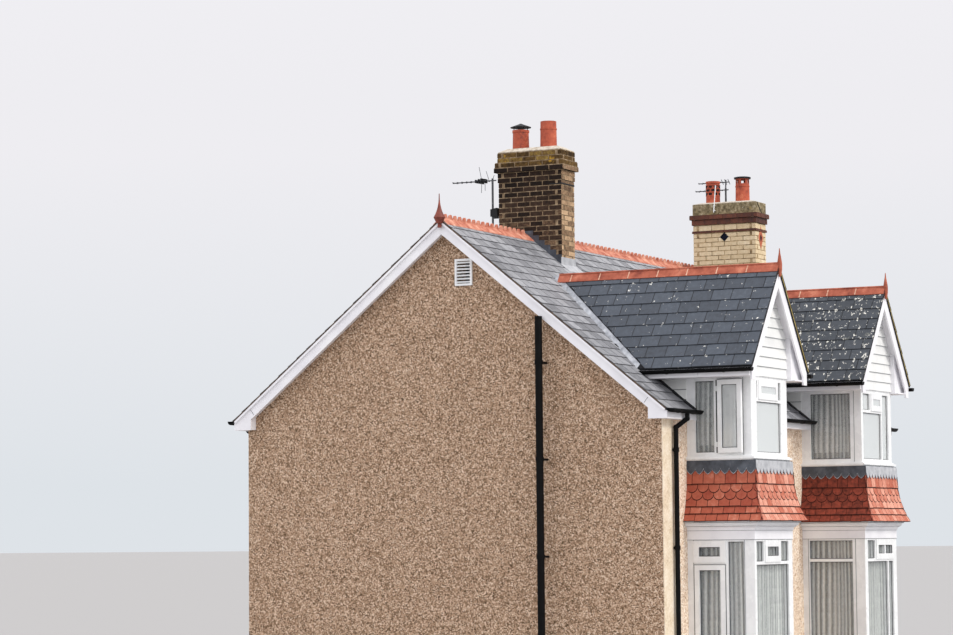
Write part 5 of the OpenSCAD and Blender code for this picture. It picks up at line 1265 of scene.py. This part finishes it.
dressWindows(0)
dressWindows(1)
dressWallWindows()
furnishDoors()
hangCasement()
hangNets(0)
hangNets(1)
print("windows dressed")


# Materials on the solids

finishes = {
    "pebbledashGable": "left_gable_wall right_gable_wall back_wall_left back_wall_right",
    "sunlitPebbledash": "front_wall_left front_wall_right bay_wall_left bay_wall_right",
    "innerPlaster": "party_wall", "smoothRender": "corner_strip",
    "floorConcrete": "ground_floors", "floorBoards": "upper_floors",
    "slateShade": "front_roof back_roof gablet_roof_left gablet_roof_right",      # seen between the slates
    "crestTerracotta": "main_ridge", "ridgeTerracotta": "gablet_ridges", "finialTerracotta": "gable_finials",
    "whiteBoard": "left_bargeboards right_bargeboards eaves_boards gablet_bargeboards gablet_eaves"
                  " bay_cornices",
    "weatherBoard": "gablet_boarding", "doorPaint": "doors",
    "blackPlastic": "eaves_gutters downpipes soil_pipe",
    "whiteProfile": "gable_vent ground_window_left ground_window_right upper_window_left upper_window_right"
                    " open_casement wall_windows",
    "floatGlass": "bay_glass_left bay_glass_right",
    "sootMortar": "left_chimney", "paintedMortar": "right_chimney",      # seen between the bricks
    "potClay": "chimney_pots", "cowlMetal": "pot_cowls", "aerialMetal": "aerials", "lead": "lead_aprons",
    "tileShade": "tile_skirt_left tile_skirt_right",
}
covers = {node: made[name] for name, nodes in finishes.items() for node in nodes.split()}
for node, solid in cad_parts.items():
    for slot in solid.material_slots:
        slot.material = covers[node]
    if not solid.material_slots:
        solid.data.materials.append(covers[node])
print("solids finished:", len(covers))


# Camera, light and floor

camera = {
    "lens": 112.05, "sensor": 36.0, "clip": (0.5, 2000), "place": (-41.968, -19.37, 2.6),
    "heading": 63.212, "rise": 4.331, "roll": -0.514,      # in degrees, the heading from +Y towards +X
}
light = {
    "horizon": "#EEEDF1", "low": "#DEE3E8", "mist": (0.02, 0.13),      # the low colour reaches up to the mist
    "overhead": 1.35, "overheadFrom": 0.15, "left": 1.36, "leftEnd": 0.6,
    "sun": 1.7, "sunColour": (1.0, 0.965, 0.90), "spread": 14, "from": (-0.04, -1.0, 0.85),
}
floorLook = {"reach": 900, "colour": "#A6A5A4", "rough": 0.95}


def linked(name, data):      # a new object in the scene
    thing = bpy.data.objects.new(name, data)
    bpy.context.scene.collection.objects.link(thing)
    return thing


def placeCamera():
    heading, rise, roll = (math.radians(camera[k]) for k in ("heading", "rise", "roll"))
    ahead = Vector((math.sin(heading) * math.cos(rise), math.cos(heading) * math.cos(rise), math.sin(rise)))
    right = Vector((math.cos(heading), -math.sin(heading), 0))
    up = right.cross(ahead)
    turned = right * math.cos(roll) + up * math.sin(roll)
    upper = -right * math.sin(roll) + up * math.cos(roll)
    data = bpy.data.cameras.new("view")
    data.lens, data.sensor_width, data.sensor_fit = camera["lens"], camera["sensor"], "HORIZONTAL"
    data.clip_start, data.clip_end = camera["clip"]
    eye = linked("view", data)
    axes = Matrix((turned, upper, -ahead)).transposed().to_4x4()
    axes.translation = camera["place"]
    eye.matrix_world = axes
    bpy.context.scene.camera = eye


def lightScene():      # a pale overcast sky, brighter overhead and duller from the left, with a soft low sun
    world = bpy.data.worlds.new("sky")
    bpy.context.scene.world = world
    world.use_nodes = True
    tree = world.node_tree
    tree.nodes.clear()
    way = addNode(tree, "TexCoord").outputs["Generated"]
    parts = addNode(tree, "SeparateXYZ", None, {"Vector": way}).outputs
    high = addNode(tree, "MapRange", {
        "From Min": light["overheadFrom"], "To Min": 1.0, "To Max": light["overhead"]},
        {"Value": parts["Z"]}).outputs[0]
    left = addNode(tree, "MapRange", {
        "From Min": -1.0, "From Max": light["leftEnd"], "To Min": light["left"]},
        {"Value": parts["X"]}).outputs[0]
    strength = addNode(tree, "Math", {"operation": "MULTIPLY"}, {0: high, 1: left}).outputs[0]
    low = addNode(tree, "MapRange", {"From Min": light["mist"][0], "From Max": light["mist"][1]},
                  {"Value": parts["Z"]}).outputs[0]
    stops = [(0.0, toLinear(light["low"])), (1.0, toLinear(light["horizon"]))]
    colour = addNode(tree, "ValToRGB", {"stops": stops}, {"Fac": low}).outputs[0]
    sky = addNode(tree, "Background", None, {"Color": colour, "Strength": strength})
    addNode(tree, "OutputWorld", None, {"Surface": sky.outputs[0]})
    data = bpy.data.lights.new("sun", "SUN")
    data.energy, data.angle, data.color = light["sun"], math.radians(light["spread"]), light["sunColour"]
    linked("sun", data).rotation_euler = Vector(light["from"]).to_track_quat("Z", "Y").to_euler()
    bpy.context.scene.view_settings.view_transform = "Standard"
    bpy.context.scene.view_settings.look = "None"


def layFloor():
    mesh, reach = bpy.data.meshes.new("floor"), floorLook["reach"]
    mesh.from_pydata([(x, y, 0) for x, y in oblong(-reach, -reach, reach, reach)], [], [(0, 1, 2, 3)])
    material, tree, shader, where = newMaterial("paleFloor", {
        "Base Color": toLinear(floorLook["colour"]), "Roughness": floorLook["rough"]})
    mesh.materials.append(material)
    floor = linked("floor", mesh)


placeCamera()
lightScene()
layFloor()
